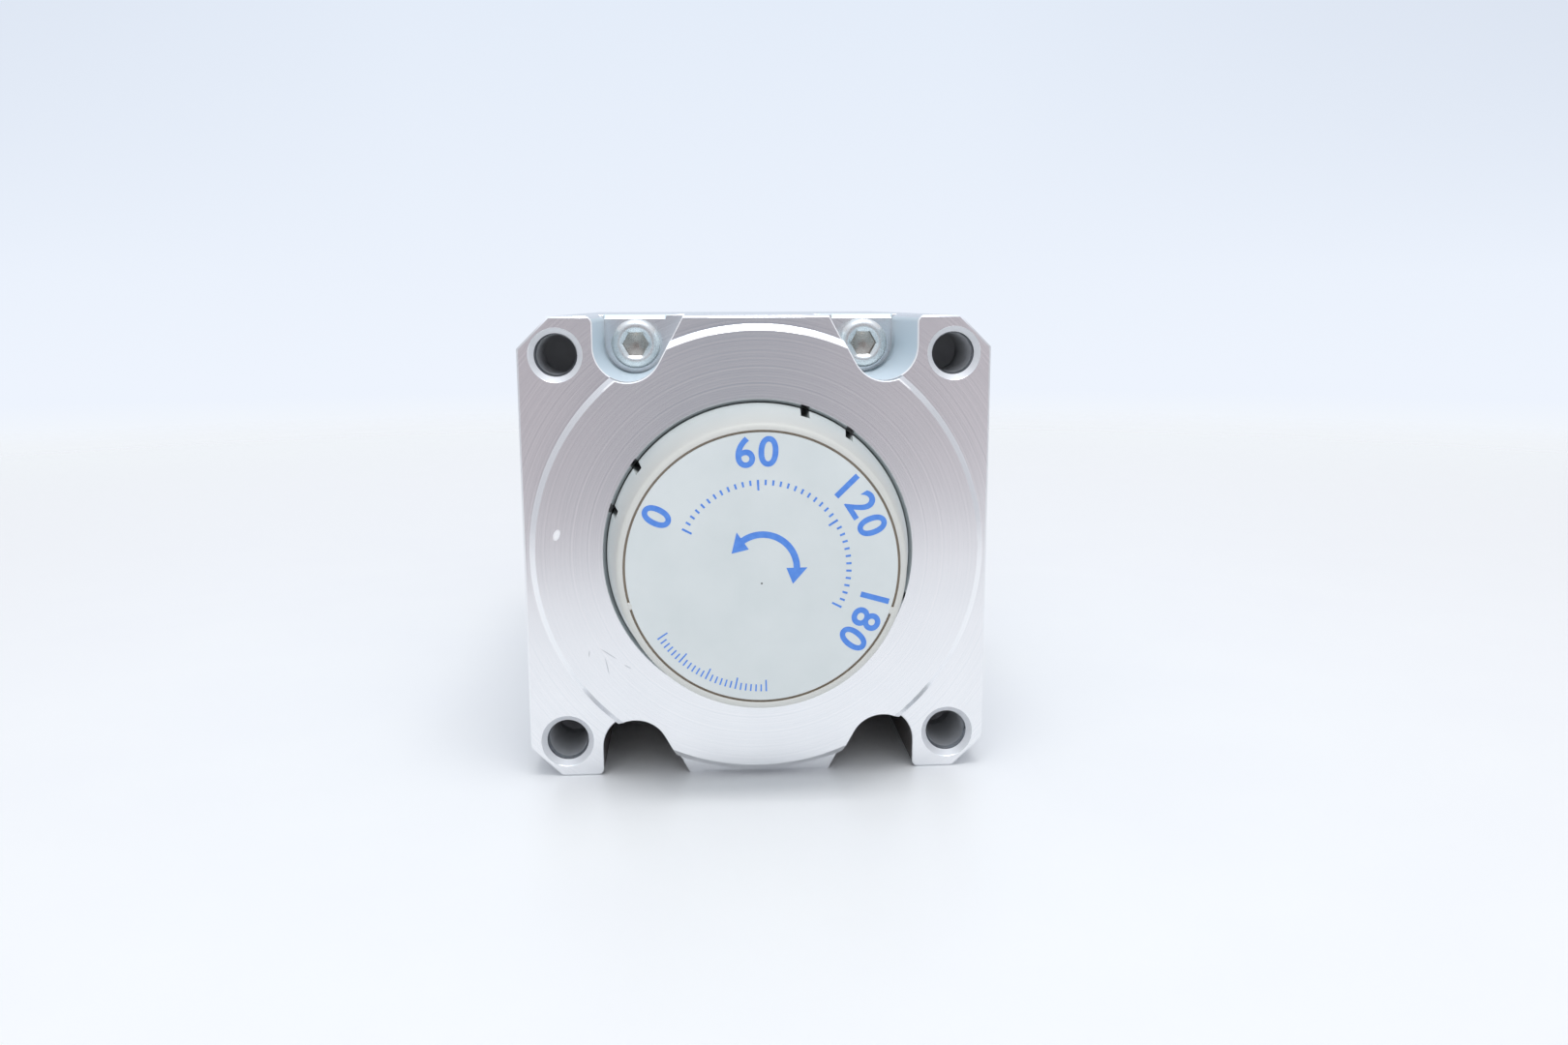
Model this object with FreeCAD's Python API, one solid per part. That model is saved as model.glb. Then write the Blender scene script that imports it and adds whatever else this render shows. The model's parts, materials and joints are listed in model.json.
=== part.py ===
"""Pneumatic rotary gripper: a vane actuator and a parallel two-finger gripper in one square housing.

Millimetres. Y is the turning axis, from the mounting flange (-Y) to the fingers (+Y), and Z is up.
The origin is on the axis, on the flange's face, where the pilot boss starts.
The rest pose has the fingers level and open, with the rotor at the middle of its turn.
"""
import FreeCAD, Part
import math
import os

V = FreeCAD.Vector

# Clearances
SLIP = 0.02                # radial, between pieces that are fixed to each other
RUN = 0.05                 # radial, a shaft or piston that runs in its bore
SEAL_RUN = 0.08            # radial, a seal lip on a moving face
BALL_PLAY = 0.12           # a ball in its groove
SIDE_PLAY = 0.1            # end faces that turn past each other, and lever ends in their slots
FREE = 0.4                 # a moving piece in its window
TIP_GAP = 1.0              # a tapped hole below the tip of its screw
PAST = 1.0                 # how far a cutting tool reaches past the face that it cuts

# Stock screws: thread radius, head radius, head height and key size
SCREWS = {
    "M3": (1.5, 2.75, 3.0, 2.5),
    "M4": (2.0, 3.5, 4.0, 3.0),
    "M5": (2.5, 4.25, 5.0, 4.0),
    "M8": (4.0, 6.5, 5.0, 5.0),
}

# Square housing and mounting flange
BOSS_R = 36.3
BOSS_H = 3.0
BOSS_CHAMFER = 1.0
BOSS_LAND = 1.2            # flange beside the boss, at the middle of each side
CORNER = 5.0               # chamfer along the four long edges
EDGE = 0.3                 # edge break on the outlines that show
TAP_IN = 6.0               # four M8 holes in the corners, from both sides
TAP_R = 3.4
TAP_SINK_R = 4.3
TAP_DEPTH = 16.0
REAR_LEN = 48.0            # flange face to the joint between the two housings

# Notches that let a key reach the housing screws
NOTCH_IN_X = 17.25         # middle of the round, from the left or right side
NOTCH_IN_Z = 4.8           # and from the top or bottom
NOTCH_R = 5.4
NOTCH_LEAN = math.radians(28.5)
NOTCH_DEPTH = 28.0
LUG_ROUND = 1.2
SEAT_EDGE = 0.75           # chamfer on the outer edge of a screw's seat

# Housing screws
SCREW_IN_X = 17.5
SCREW_IN_Z = 5.0
SCREW_LEN = 30.0
SCREW_SPARE = 2.0          # tapped hole past the screw's tip

# Resin cap over the tail of the shaft
CAP_BORE_R = 24.25
CAP_MOUTH = 0.5            # chamfer at the mouth of the cap's bore
CAP_SEAT = 8.0             # depth of the shoulder under the cap
CAP_GAP = 0.2              # between the cap and its bore
CAP_OUT = 11.66            # how far the cap stands in front of the boss
CAP_TIP_R = 21.9
CAP_WALL = 1.8
CAP_ROUND = 0.8
CAP_RIM = 0.95             # rim around the face disc
CAP_GROOVE = 0.35
DISC_T = 0.8
DISC_LOW = 0.1             # disc face below the rim
TONGUE_ANGLE = 62.6
TONGUES = 4
TONGUE_HALF = 9.5          # degrees from a tongue's middle to its slots
TONGUE_SLOT = 1.4
TONGUE_RISE = 4.2          # how far the slots reach in front of the boss
SNAP = 0.35                # depth of the groove for the tongues' beads
SNAP_Y = 4.0
SNAP_W = 2.4

# Vane actuator
VANE_LEN = 21.0
CHAMBER_R = 26.0
HUB_R = 15.0
VANE_HALF = 28.0           # degrees, with its seal
VANE_CORE_HALF = 19.0
VANE_SKIN = 1.3
VANE_ROOT = 5.0            # depth of the vane's root in the hub
VANE_ROOT_HALF = 3.0
TURN_HALF = 90.0
STOP_MARGIN = 5.0          # degrees left between vane and stopper at the ends of the turn
STOPPER_GAP = 0.3          # stopper to hub, closed by its seal
STOPPER_SEAL_T = 2.0
STOPPER_SEAL_HALF = 6.0
STOPPER_PIN_R = 1.5
STOPPER_PIN_HALF = 35.0    # degrees
STOPPER_PIN_IN = 4.0
STOPPER_PIN_LEN = 16.0
REAR_WALL = 6.0
PARTITION = 6.0
SHAFT_R = 12.0
SHAFT_GAP = 0.3
SHAFT_SEAL_R = 1.2         # section of the shaft seals
FACE_SEAL_R = 0.95
FACE_SEAL_OUT = 3.5        # middle of the seal from the chamber's wall

# Bearings
REAR_BORE_R = 10.0
REAR_SECTION = 6.0         # bore to outside
FRONT_SECTION = 6.0
BEARING_W = 7.0
REAR_BALL_R = 2.3
FRONT_BALL_R = 1.9
REAR_BALLS = 8
FRONT_BALLS = 12
RACE_SHOULDER = 0.5        # ring shoulder from the pitch line, as a share of the ball
CAGE_T = 0.7
CLIP_T = 1.2
CLIP_DEPTH = 0.8
CLIP_LAND = 1.3
CLIP_WIDTH = 3.0
CLIP_OPENING = 40.0        # degrees

# Tail of the shaft, under the cap
TAIL_R = 7.0
TAIL_GAP = 0.7             # arm to the bottom of the pocket
TAIL_SHORT = 0.3           # the tail ends inside its arm, so that the washer clamps the arm
MAGNET_ARM_T = 4.0
MAGNET_ARM_HUB_R = 10.0
MAGNET_GAP = 1.05          # arm's end to the wall of the pocket
MAGNET_R = 3.0
MAGNET_T = 3.0
MAGNET_WALL = 1.2
WASHER_R = 9.0
WASHER_T = 1.0
TAIL_SCREW_LEN = 16.0

# Turn stop
STOP_GAP = 1.0
STOP_T = 6.0
STOP_SHAFT_R = 9.0
STOP_WALL = 1.5            # hub outside the key
STOP_ARM_GAP = 1.8         # arm's end to the bore
STOP_ARM_HALF = 4.0
STOP_TOUCH = 0.3           # left between arm and screw at the ends of the turn
KEY_HALF = 2.0
KEY_IN = 2.0
ADJUST_GAP = 0.5           # screw to the hub, across the axis
ADJUST_R = 3.0
ADJUST_OUT = 8.0           # length of each adjusting screw that stands out of the side
ADJUST_KEY = 3.0
ADJUST_SOCKET = 4.0
NUT_AF = 10.0
NUT_T = 5.0

# Gripper cylinder
BARREL_R = 21.0
BARREL_GAP = 0.3
BARREL_BORE_R = 12.5
BARREL_END = 8.5
BARREL_STEP = 1.0          # shoulder behind the front bearing
BARREL_SPIGOT = 4.0
BARREL_BOLT_LEN = 18.0
PISTON_BACK = 6.5          # space behind the closed piston
PISTON_LEN = 10.0
STROKE = 7.0               # of the piston and of each finger
PISTON_SEAL_Y = 6.0
PISTON_SEAL_W = 2.6
PISTON_SEAL_T = 1.9
PISTON_MAGNET_Y = 1.6
PISTON_MAGNET_W = 2.4
PISTON_MAGNET_T = 2.0
PISTON_MAGNET_LOW = 0.5
PISTON_SCREW_TAP = 8.0
COVER_SPACE = 2.0
COVER_LEN = 6.0
COVER_LAND = 1.8           # barrel in front of the cover's clip
ROD_R = 5.0
ROD_SEAL_R = 1.1
AIR_R = 1.2
ROTARY_SEAL_W = 3.0
ROTARY_SEAL_T = 1.5
AIR_GROOVE_W = 4.0
AIR_GROOVE_DEPTH = 0.8
SEAL_BACK = 3.0            # last rotary seal to the front bearing
PORT_PITCH = 12.0

# Ports, bottom holes and sensor grooves
PORT_R = 2.1
PORT_THREAD = 7.0
PORT_DRILL_R = 1.3
PORT_FACE_R = 4.5
PORT_FACE_T = 0.4
VANE_PORT_Z = -12.0
BASE_TAP_R = 2.5
BASE_TAP_DEPTH = 10.0
BASE_TAP_X = 50.0
BASE_TAP_Y = 36.0
BASE_TAP_END = 8.0         # last pair to the front face
SENSOR_R = 2.0
SENSOR_SLOT = 2.8
SENSOR_DEEP = 2.4
SENSOR_Z = 18.0
SENSOR_LEN = 35.0

# Front bearing retainer
RETAINER_T = 5.0
RETAINER_WALL = 3.0        # bearing to the screws' middle, and from there to the outside
RETAINER_SCREWS = 6
RETAINER_TAP = 8.0
DUST_SEAL_W = 3.0
DUST_SEAL_T = 1.8

# Gripper head
HEAD_IN = 3.5              # head inside the housing's square
HEAD_T = 12.0
HEAD_GAP = 1.0             # head to housing
HEAD_HUB_WALL = 3.0
HEAD_SPIGOT = 2.0
HEAD_CHAMFER = 1.0
HEAD_SCREW_ANGLE = 60.0
HEAD_SCREW_SEAT = 5.0      # above the back of the flange
HEAD_SCREW_LEN = 16.0
POCKET_GAP = 1.0
SLOT_RISE = 0.3            # lever slot above the back of the flange

# Levers
EYE_GAP = 0.5              # lever's eye to the bottom of its slot
WEB_GAP = 0.3              # lever's end to the web of the rod's head
ARM = 12.0
ARM_HALF = 1.5
WEB_REACH = 6.0
LEVER_END_R = 2.5
LEVER_EYE_R = 4.2
LEVER_HALF = 3.5
PIN_R = 2.0
PIN_HALF = 12.0
ROD_HEAD_HALF = 6.5
ROD_HEAD_LEN = 10.0
ROD_WEB_HALF = 1.2

# Finger guide and fingers
GUIDE_HALF_X = 31.5
GUIDE_WALL = 8.0
GUIDE_FLOOR = 3.0
GUIDE_T = 12.0
GUIDE_CHAMFER = 1.0
GUIDE_SCREW_END = 7.5      # from the guide's end
GUIDE_SCREW_IN = 3.0       # from its long side
GUIDE_SCREW_SINK = 3.2
GUIDE_SCREW_TAP = 8.0
CHANNEL_HALF = 9.0
FINGER_PLAY = 0.3
GUIDE_BALL_R = 1.5
GUIDE_BALL_RISE = 4.0
GUIDE_BALL_PITCH = 3.6
GUIDE_BALLS = 4
END_PLATE_T = 1.5
END_PLATE_IN = 1.5         # inside the guide's long sides
END_PLATE_EDGE = 1.0
END_SCREW_R = 1.0
END_SCREW_HEAD_R = 1.9
END_SCREW_HEAD_T = 1.2
END_SCREW_LEN = 5.0
END_SCREW_IN = 4.0         # from the guide's long side
BASE_LEN = 18.0
BASE_ROOM = 3.0            # open finger to the end plate
BASE_LOW = 1.0             # top of the finger's base below the front of the guide
JAW_GAP = 12.0             # axis to the open jaw's face
JAW_T = 10.0
JAW_IN = 1.0               # jaw inside the channel's walls
JAW_LEN = 21.0
JAW_CHAMFER = 0.8
JAW_TAP_R = 2.1
JAW_TAP_PITCH = 10.0
JAW_TAP_TIP = 5.0

# Places and sizes worked out from the ones above
HALF_TURN = 180.0
SIDE = 2 * (BOSS_R + BOSS_LAND)
HALF = SIDE / 2
TAP_AT = HALF - TAP_IN
NOTCH_X = HALF - NOTCH_IN_X
NOTCH_Z = HALF - NOTCH_IN_Z
SCREW_X = HALF - SCREW_IN_X
SCREW_Z = HALF - SCREW_IN_Z
SCREW_TIP = NOTCH_DEPTH + SCREW_LEN
CAP_TIP_Y = -BOSS_H - CAP_OUT
CAP_BASE_R = CAP_BORE_R - CAP_GAP
CAP_INNER_R = CAP_BASE_R - CAP_WALL
REAR_OUT_R = REAR_BORE_R + REAR_SECTION
CHAMBER_Y = REAR_LEN - VANE_LEN
CHAMBER_MID = REAR_LEN - VANE_LEN / 2
REAR_BRG_END = CHAMBER_Y - REAR_WALL
REAR_BRG_Y = REAR_BRG_END - BEARING_W
REAR_CLIP_Y = REAR_BRG_Y - CLIP_T
POCKET_Y = REAR_CLIP_Y - CLIP_LAND
STOPPER_PIN_R_AT = (HUB_R + CHAMBER_R) / 2
FACE_SEAL_R_AT = CHAMBER_R + FACE_SEAL_OUT
SHAFT_SEALS = (CHAMBER_Y - REAR_WALL / 2, REAR_LEN + PARTITION / 2)
TAIL_SHOULDER = POCKET_Y - TAIL_GAP
MAGNET_ARM_Y = TAIL_SHOULDER - MAGNET_ARM_T
MAGNET_X = CAP_INNER_R - MAGNET_GAP - MAGNET_WALL - MAGNET_R
TAIL_SEAT = MAGNET_ARM_Y - WASHER_T
BARREL_BORE = BARREL_R + BARREL_GAP
STOP_Y = REAR_LEN + PARTITION + STOP_GAP
STOP_HUB_R = STOP_SHAFT_R + KEY_IN + STOP_WALL
STOP_ARM_R = BARREL_BORE - STOP_ARM_GAP
ADJUST_Z = STOP_HUB_R + ADJUST_GAP + ADJUST_R
BARREL_Y = STOP_Y + STOP_T
CYL_Y = BARREL_Y + BARREL_END
PISTON_Y = CYL_Y + PISTON_BACK + STROKE
PISTON_FACE = PISTON_Y + PISTON_LEN
COVER_Y = PISTON_FACE + COVER_SPACE
COVER_CLIP_Y = COVER_Y + COVER_LEN
BARREL_TIP = COVER_CLIP_Y + CLIP_T + COVER_LAND
RETAINER_Y = BARREL_TIP - HEAD_SPIGOT
FRONT_END = RETAINER_Y + RETAINER_T
FRONT_BRG_Y = RETAINER_Y - BEARING_W
FRONT_BORE_R = BARREL_R - BARREL_STEP
FRONT_OUT_R = FRONT_BORE_R + FRONT_SECTION
BARREL_WALL_R = (BARREL_BORE_R + FRONT_BORE_R) / 2
ROTARY_SEALS = [FRONT_BRG_Y - SEAL_BACK - k * PORT_PITCH for k in (2, 1, 0)]
PORTS = [y + PORT_PITCH / 2 for y in ROTARY_SEALS[:2]]
RETAINER_SCREW_R = FRONT_OUT_R + RETAINER_WALL
RETAINER_R = RETAINER_SCREW_R + RETAINER_WALL
HEAD_HUB_R = FRONT_BORE_R + HEAD_HUB_WALL
RETAINER_BORE_R = HEAD_HUB_R + DUST_SEAL_T
HEAD_R = HALF - HEAD_IN
HEAD_Y = FRONT_END + HEAD_GAP
HEAD_FACE = HEAD_Y + HEAD_T
HEAD_SCREW_X = BARREL_WALL_R * math.cos(math.radians(HEAD_SCREW_ANGLE))
HEAD_SCREW_Z = BARREL_WALL_R * math.sin(math.radians(HEAD_SCREW_ANGLE))
POCKET_HALF = ROD_HEAD_HALF + POCKET_GAP
PIVOT_X = ARM + LEVER_END_R + ROD_WEB_HALF + WEB_GAP
PIVOT_Y = HEAD_Y + SLOT_RISE + EYE_GAP + LEVER_EYE_R
DRIVE_Y = PIVOT_Y + STROKE / 2
FINGER_X = PIVOT_X + STROKE / 2
WINDOW_X = FINGER_X + LEVER_END_R + FREE
WINDOW_Z = LEVER_HALF + FREE
GUIDE_FACE = HEAD_FACE + GUIDE_T
GUIDE_HALF_Z = CHANNEL_HALF + GUIDE_WALL
GUIDE_SCREW_X = GUIDE_HALF_X - GUIDE_SCREW_END
GUIDE_SCREW_Z = GUIDE_HALF_Z - GUIDE_SCREW_IN
END_PLATE_HALF = GUIDE_HALF_Z - END_PLATE_IN
END_SCREW_Z = GUIDE_HALF_Z - END_SCREW_IN
CHANNEL_Y = HEAD_FACE + GUIDE_FLOOR
BASE_END = GUIDE_HALF_X - BASE_ROOM
BASE_START = BASE_END - BASE_LEN
BASE_Y = CHANNEL_Y + FINGER_PLAY
BASE_TOP = GUIDE_FACE - BASE_LOW
JAW_HALF_Z = CHANNEL_HALF - JAW_IN
JAW_TIP = BASE_TOP + JAW_LEN
BALL_X = (BASE_START + BASE_END) / 2
BALL_Y = CHANNEL_Y + GUIDE_BALL_RISE
BALL_Z = CHANNEL_HALF - FINGER_PLAY / 2


def cylinder(radius, y0, y1, x=0.0, z=0.0):
    """A round bar along the turning axis."""
    return Part.makeCylinder(radius, y1 - y0, V(x, y0, z), V(0, 1, 0))


def cylinder_x(radius, x0, x1, y, z):
    return Part.makeCylinder(radius, x1 - x0, V(x0, y, z), V(1, 0, 0))


def cylinder_z(radius, z0, z1, x, y):
    return Part.makeCylinder(radius, z1 - z0, V(x, y, z0), V(0, 0, 1))


def block(x0, x1, y0, y1, z0, z1):
    return Part.makeBox(x1 - x0, y1 - y0, z1 - z0, V(x0, y0, z0))


def ring(outer, inner, y0, y1):
    return cylinder(outer, y0, y1).cut(cylinder(inner, y0, y1))


def torus(pitch, section, y):
    return Part.makeTorus(pitch, section, V(0, y, 0), V(0, 1, 0))


def turned(profile):
    """A solid of revolution from (radius, y) points."""
    points = [V(r, y, 0) for r, y in profile]
    face = Part.Face(Part.makePolygon(points + points[:1]))
    return face.revolve(V(0, 0, 0), V(0, 1, 0), 360)


def prism(points, along):
    """A flat outline of points, drawn out along a vector."""
    return Part.Face(Part.makePolygon(points + points[:1])).extrude(along)


def polar(radius, degrees):
    """The (x, z) of a point around the axis, with 0 to the right and 90 up."""
    angle = math.radians(degrees)
    return radius * math.cos(angle), radius * math.sin(angle)


def sector(inner, outer, y0, y1, middle, half):
    """A piece of a ring, half degrees to each side of middle."""
    def at(radius, degrees):
        x, z = polar(radius, degrees)
        return V(x, y0, z)
    low, high = middle - half, middle + half
    edges = [
        Part.Arc(at(outer, low), at(outer, middle), at(outer, high)),
        Part.LineSegment(at(outer, high), at(inner, high)),
        Part.Arc(at(inner, high), at(inner, middle), at(inner, low)),
        Part.LineSegment(at(inner, low), at(outer, low)),
    ]
    face = Part.Face(Part.Wire([edge.toShape() for edge in edges]))
    return face.extrude(V(0, y1 - y0, 0))


def hexagon(across, y0, y1, x=0.0, z=0.0):
    points = []
    for k in range(6):
        cx, cz = polar(across / math.sqrt(3), 60 * k)
        points.append(V(x + cx, y0, z + cz))
    return prism(points, V(0, y1 - y0, 0))


def mirror_x(shape):
    return shape.mirror(V(0, 0, 0), V(1, 0, 0))


def mirror_z(shape):
    return shape.mirror(V(0, 0, 0), V(0, 0, 1))


def four(shape):
    """The shape in all four quarters around the axis."""
    pair = [shape, mirror_x(shape)]
    return pair + [mirror_z(piece) for piece in pair]


def around(shape, count, start=0.0):
    """Copies of a shape, evenly spaced around the axis."""
    copies = []
    for k in range(count):
        copy = shape.copy()
        copy.rotate(V(0, 0, 0), V(0, -1, 0), start + 360.0 * k / count)
        copies.append(copy)
    return copies


def lay_along_x(shape, y, z):
    """Turns a piece made along +Y at the origin so that it points along +X, at (0, y, z)."""
    copy = shape.copy()
    copy.rotate(V(0, 0, 0), V(0, 0, -1), 90)
    copy.translate(V(0, y, z))
    return copy


def cap_screw(size, seat, tip, x=0.0, z=0.0):
    """A socket head screw along the axis, with its head on the seat plane."""
    thread_r, head_r, head_h, key = SCREWS[size]
    side = 1 if tip > seat else -1
    top = seat - side * head_h
    head = cylinder(head_r, *sorted((seat, top)), x, z)
    shank = cylinder(thread_r, *sorted((seat, tip)), x, z)
    socket = hexagon(key, *sorted((top, top + side * head_h / 2)), x, z)
    return head.fuse(shank).cut(socket)


def screw_hole(size, y0, y1, x=0.0, z=0.0):
    return cylinder(SCREWS[size][0] + RUN, y0, y1, x, z)


def head_sink(size, y0, y1, x=0.0, z=0.0):
    return cylinder(SCREWS[size][1] + SIDE_PLAY, y0, y1, x, z)


def clip(inner, outer, y0):
    """A retaining ring with its gap at the top."""
    return sector(inner, outer, y0, y0 + CLIP_T, 270, HALF_TURN - CLIP_OPENING / 2)


def square_bar(y0, y1):
    """The housing's square section with its chamfered corners."""
    flat = HALF - CORNER
    corners = [(flat, HALF), (HALF, flat), (HALF, -flat), (flat, -HALF),
               (-flat, -HALF), (-HALF, -flat), (-HALF, flat), (-flat, HALF)]
    return prism([V(x, y0, z) for x, z in corners], V(0, y1 - y0, 0))


def notch(y0, y1):
    """The tool for one screw notch, upper right."""
    top = HALF + PAST
    side_x = NOTCH_X + NOTCH_R
    middle_angle = (math.pi + NOTCH_LEAN) / 2 - math.pi

    def on_round(angle):
        return V(NOTCH_X + NOTCH_R * math.cos(angle), y0, NOTCH_Z + NOTCH_R * math.sin(angle))

    start = on_round(0)
    end = on_round(math.pi + NOTCH_LEAN)
    right_top = V(side_x, y0, top)
    left_top = V(end.x - (top - end.z) * math.tan(NOTCH_LEAN), y0, top)
    edges = [
        Part.LineSegment(right_top, start),
        Part.Arc(start, on_round(middle_angle), end),
        Part.LineSegment(end, left_top),
        Part.LineSegment(left_top, right_top),
    ]
    face = Part.Face(Part.Wire([edge.toShape() for edge in edges]))
    return face.extrude(V(0, y1 - y0, 0))


def long_edges_at(shape, x, z):
    """The edges along Y through the places (+-x, +-z)."""
    found = []
    for edge in shape.Edges:
        ends = [vertex.Point for vertex in edge.Vertexes]
        if all(abs(abs(p.x) - x) + abs(abs(p.z) - z) < 1e-4 for p in ends):
            found.append(edge)
    return found


def circles_at(shape, radius, y):
    """The full circles of that radius around the axis, at y."""
    found = []
    for edge in shape.Edges:
        box = edge.BoundBox
        flat = abs(box.YMin - y) < 1e-4 and abs(box.YMax - y) < 1e-4
        if flat and abs(box.XMax - radius) < 1e-3 and abs(box.ZMax - radius) < 1e-3:
            found.append(edge)
    return found


def face_edges(shape, y):
    """The outer edges of the flat face that lies across the axis at y."""
    for face in shape.Faces:
        box = face.BoundBox
        if box.YLength < 1e-6 and abs(box.YMin - y) < 1e-6:
            return face.OuterWire.Edges
    return []


def air_port(y, z, end_x):
    """The tool for a threaded port in the right side, drilled on to end_x."""
    face_x = HALF - PORT_FACE_T
    tools = [
        cylinder_x(PORT_FACE_R, face_x, HALF + PAST, y, z),
        cylinder_x(PORT_R, face_x - PORT_THREAD, HALF, y, z),
        cylinder_x(PORT_DRILL_R, end_x, HALF, y, z),
    ]
    return tools[0].fuse(tools[1:])


def shaft_bore(y, y0, y1):
    """The tool for the shaft's hole through a wall, with the groove for its seal at y."""
    groove_r = SHAFT_R + SEAL_RUN + 2 * SHAFT_SEAL_R + SLIP
    half = SHAFT_SEAL_R + SLIP
    return cylinder(SHAFT_R + SHAFT_GAP, y0, y1).fuse(cylinder(groove_r, y - half, y + half))


def stopper_pin_places():
    return [polar(STOPPER_PIN_R_AT, 270 + side * STOPPER_PIN_HALF) for side in (-1, 1)]


def rear_body():
    """Flange, pilot boss and the vane chamber, in one machined housing."""
    boss = turned([(0, -BOSS_H), (BOSS_R - BOSS_CHAMFER, -BOSS_H), (BOSS_R, BOSS_CHAMFER - BOSS_H),
                   (BOSS_R, PAST), (0, PAST)])
    flange = square_bar(0, NOTCH_DEPTH)
    flange = flange.makeChamfer(EDGE, face_edges(flange, 0)).fuse(boss).removeSplitter()
    flange = flange.cut(four(notch(-BOSS_H - PAST, NOTCH_DEPTH + PAST)))
    flange = flange.makeFillet(LUG_ROUND, long_edges_at(flange, NOTCH_X + NOTCH_R, HALF))
    body = square_bar(NOTCH_DEPTH, REAR_LEN).fuse(flange).removeSplitter()
    edge_x = NOTCH_X - NOTCH_R
    seat_edge = prism([V(edge_x, NOTCH_DEPTH, HALF - SEAT_EDGE), V(edge_x, NOTCH_DEPTH, HALF + PAST),
                       V(edge_x, NOTCH_DEPTH + SEAT_EDGE + PAST, HALF + PAST)], V(2 * NOTCH_R, 0, 0))
    tap = turned([(0, -PAST), (TAP_SINK_R + PAST, -PAST), (TAP_R, TAP_SINK_R - TAP_R), (TAP_R, TAP_DEPTH),
                  (0, TAP_DEPTH + TAP_R / 2)])
    tap.translate(V(TAP_AT, 0, TAP_AT))
    face = -BOSS_H
    half = FACE_SEAL_R + SLIP
    tools = [
        cylinder(CAP_BORE_R, face - PAST, CAP_SEAT),
        turned([(0, face - PAST), (CAP_BORE_R + CAP_MOUTH + PAST, face - PAST),
                (CAP_BORE_R, face + CAP_MOUTH), (0, face + CAP_MOUTH)]),
        cylinder(CAP_BORE_R + SNAP, SNAP_Y - SNAP_W / 2, SNAP_Y + SNAP_W / 2),
        cylinder(CAP_INNER_R, 0, POCKET_Y),
        cylinder(REAR_OUT_R + SLIP, 0, REAR_BRG_END),
        cylinder(REAR_OUT_R + CLIP_DEPTH + SLIP, REAR_CLIP_Y - SLIP, REAR_BRG_Y),
        shaft_bore(SHAFT_SEALS[0], 0, REAR_LEN),
        cylinder(CHAMBER_R, CHAMBER_Y, REAR_LEN + PAST),
        ring(FACE_SEAL_R_AT + half, FACE_SEAL_R_AT - half, REAR_LEN - 2 * half, REAR_LEN + PAST),
    ]
    port = air_port(CHAMBER_MID, VANE_PORT_Z, CHAMBER_R - PORT_R * 2)
    tools += four(tap) + four(seat_edge) + [port, mirror_x(port)]
    tools += four(screw_hole("M5", 0, REAR_LEN + PAST, SCREW_X, SCREW_Z))
    for x, z in stopper_pin_places():
        tools.append(cylinder(STOPPER_PIN_R + SLIP, CHAMBER_Y - STOPPER_PIN_IN, REAR_LEN, x, z))
    return body.cut(tools)


def front_body():
    """Housing of the gripper cylinder, with the front bearing seat, the ports and the bottom holes."""
    body = square_bar(REAR_LEN, FRONT_END)
    body = body.makeChamfer(EDGE, face_edges(body, FRONT_END))
    bore_y = REAR_LEN + PARTITION
    tools = [
        shaft_bore(SHAFT_SEALS[1], REAR_LEN - PAST, FRONT_END),
        cylinder(BARREL_BORE, bore_y, FRONT_END),
        cylinder(FRONT_OUT_R + SLIP, FRONT_BRG_Y, FRONT_END),
        cylinder(RETAINER_R + SLIP, RETAINER_Y, FRONT_END + PAST),
    ]
    for y in ROTARY_SEALS:
        half = ROTARY_SEAL_W / 2 + SLIP
        tools.append(cylinder(BARREL_R + SEAL_RUN + ROTARY_SEAL_T + SLIP, y - half, y + half))
    for y in PORTS:
        half = AIR_GROOVE_W / 2
        tools.append(cylinder(BARREL_BORE + AIR_GROOVE_DEPTH, y - half, y + half))
        tools.append(mirror_x(air_port(y, 0, BARREL_BORE - PAST)))
    tools += four(screw_hole("M5", REAR_LEN - PAST, SCREW_TIP + SCREW_SPARE, SCREW_X, SCREW_Z))
    for z in (ADJUST_Z, -ADJUST_Z):
        tools.append(cylinder_x(ADJUST_R + RUN, 0, HALF + PAST, STOP_Y + STOP_T / 2, z))
    base_y = FRONT_END - BASE_TAP_END
    for x in (-BASE_TAP_X / 2, BASE_TAP_X / 2):
        for y in (base_y, base_y - BASE_TAP_Y):
            tools.append(cylinder_z(BASE_TAP_R, -HALF - PAST, BASE_TAP_DEPTH - HALF, x, y))
    for z in (SENSOR_Z, -SENSOR_Z):
        y0 = FRONT_END - SENSOR_LEN
        round_part = cylinder(SENSOR_R, y0, FRONT_END + PAST, SENSOR_DEEP - HALF, z)
        mouth = block(-HALF - PAST, SENSOR_DEEP - HALF, y0, FRONT_END + PAST,
                      z - SENSOR_SLOT / 2, z + SENSOR_SLOT / 2)
        tools.append(round_part.fuse(mouth))
    hole = screw_hole("M3", RETAINER_Y - RETAINER_TAP, FRONT_END, RETAINER_SCREW_R, 0)
    tools += around(hole, RETAINER_SCREWS, HALF_TURN / RETAINER_SCREWS)
    return body.cut(tools)


def housing_screws():
    return four(cap_screw("M5", NOTCH_DEPTH, SCREW_TIP, SCREW_X, SCREW_Z))


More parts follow.
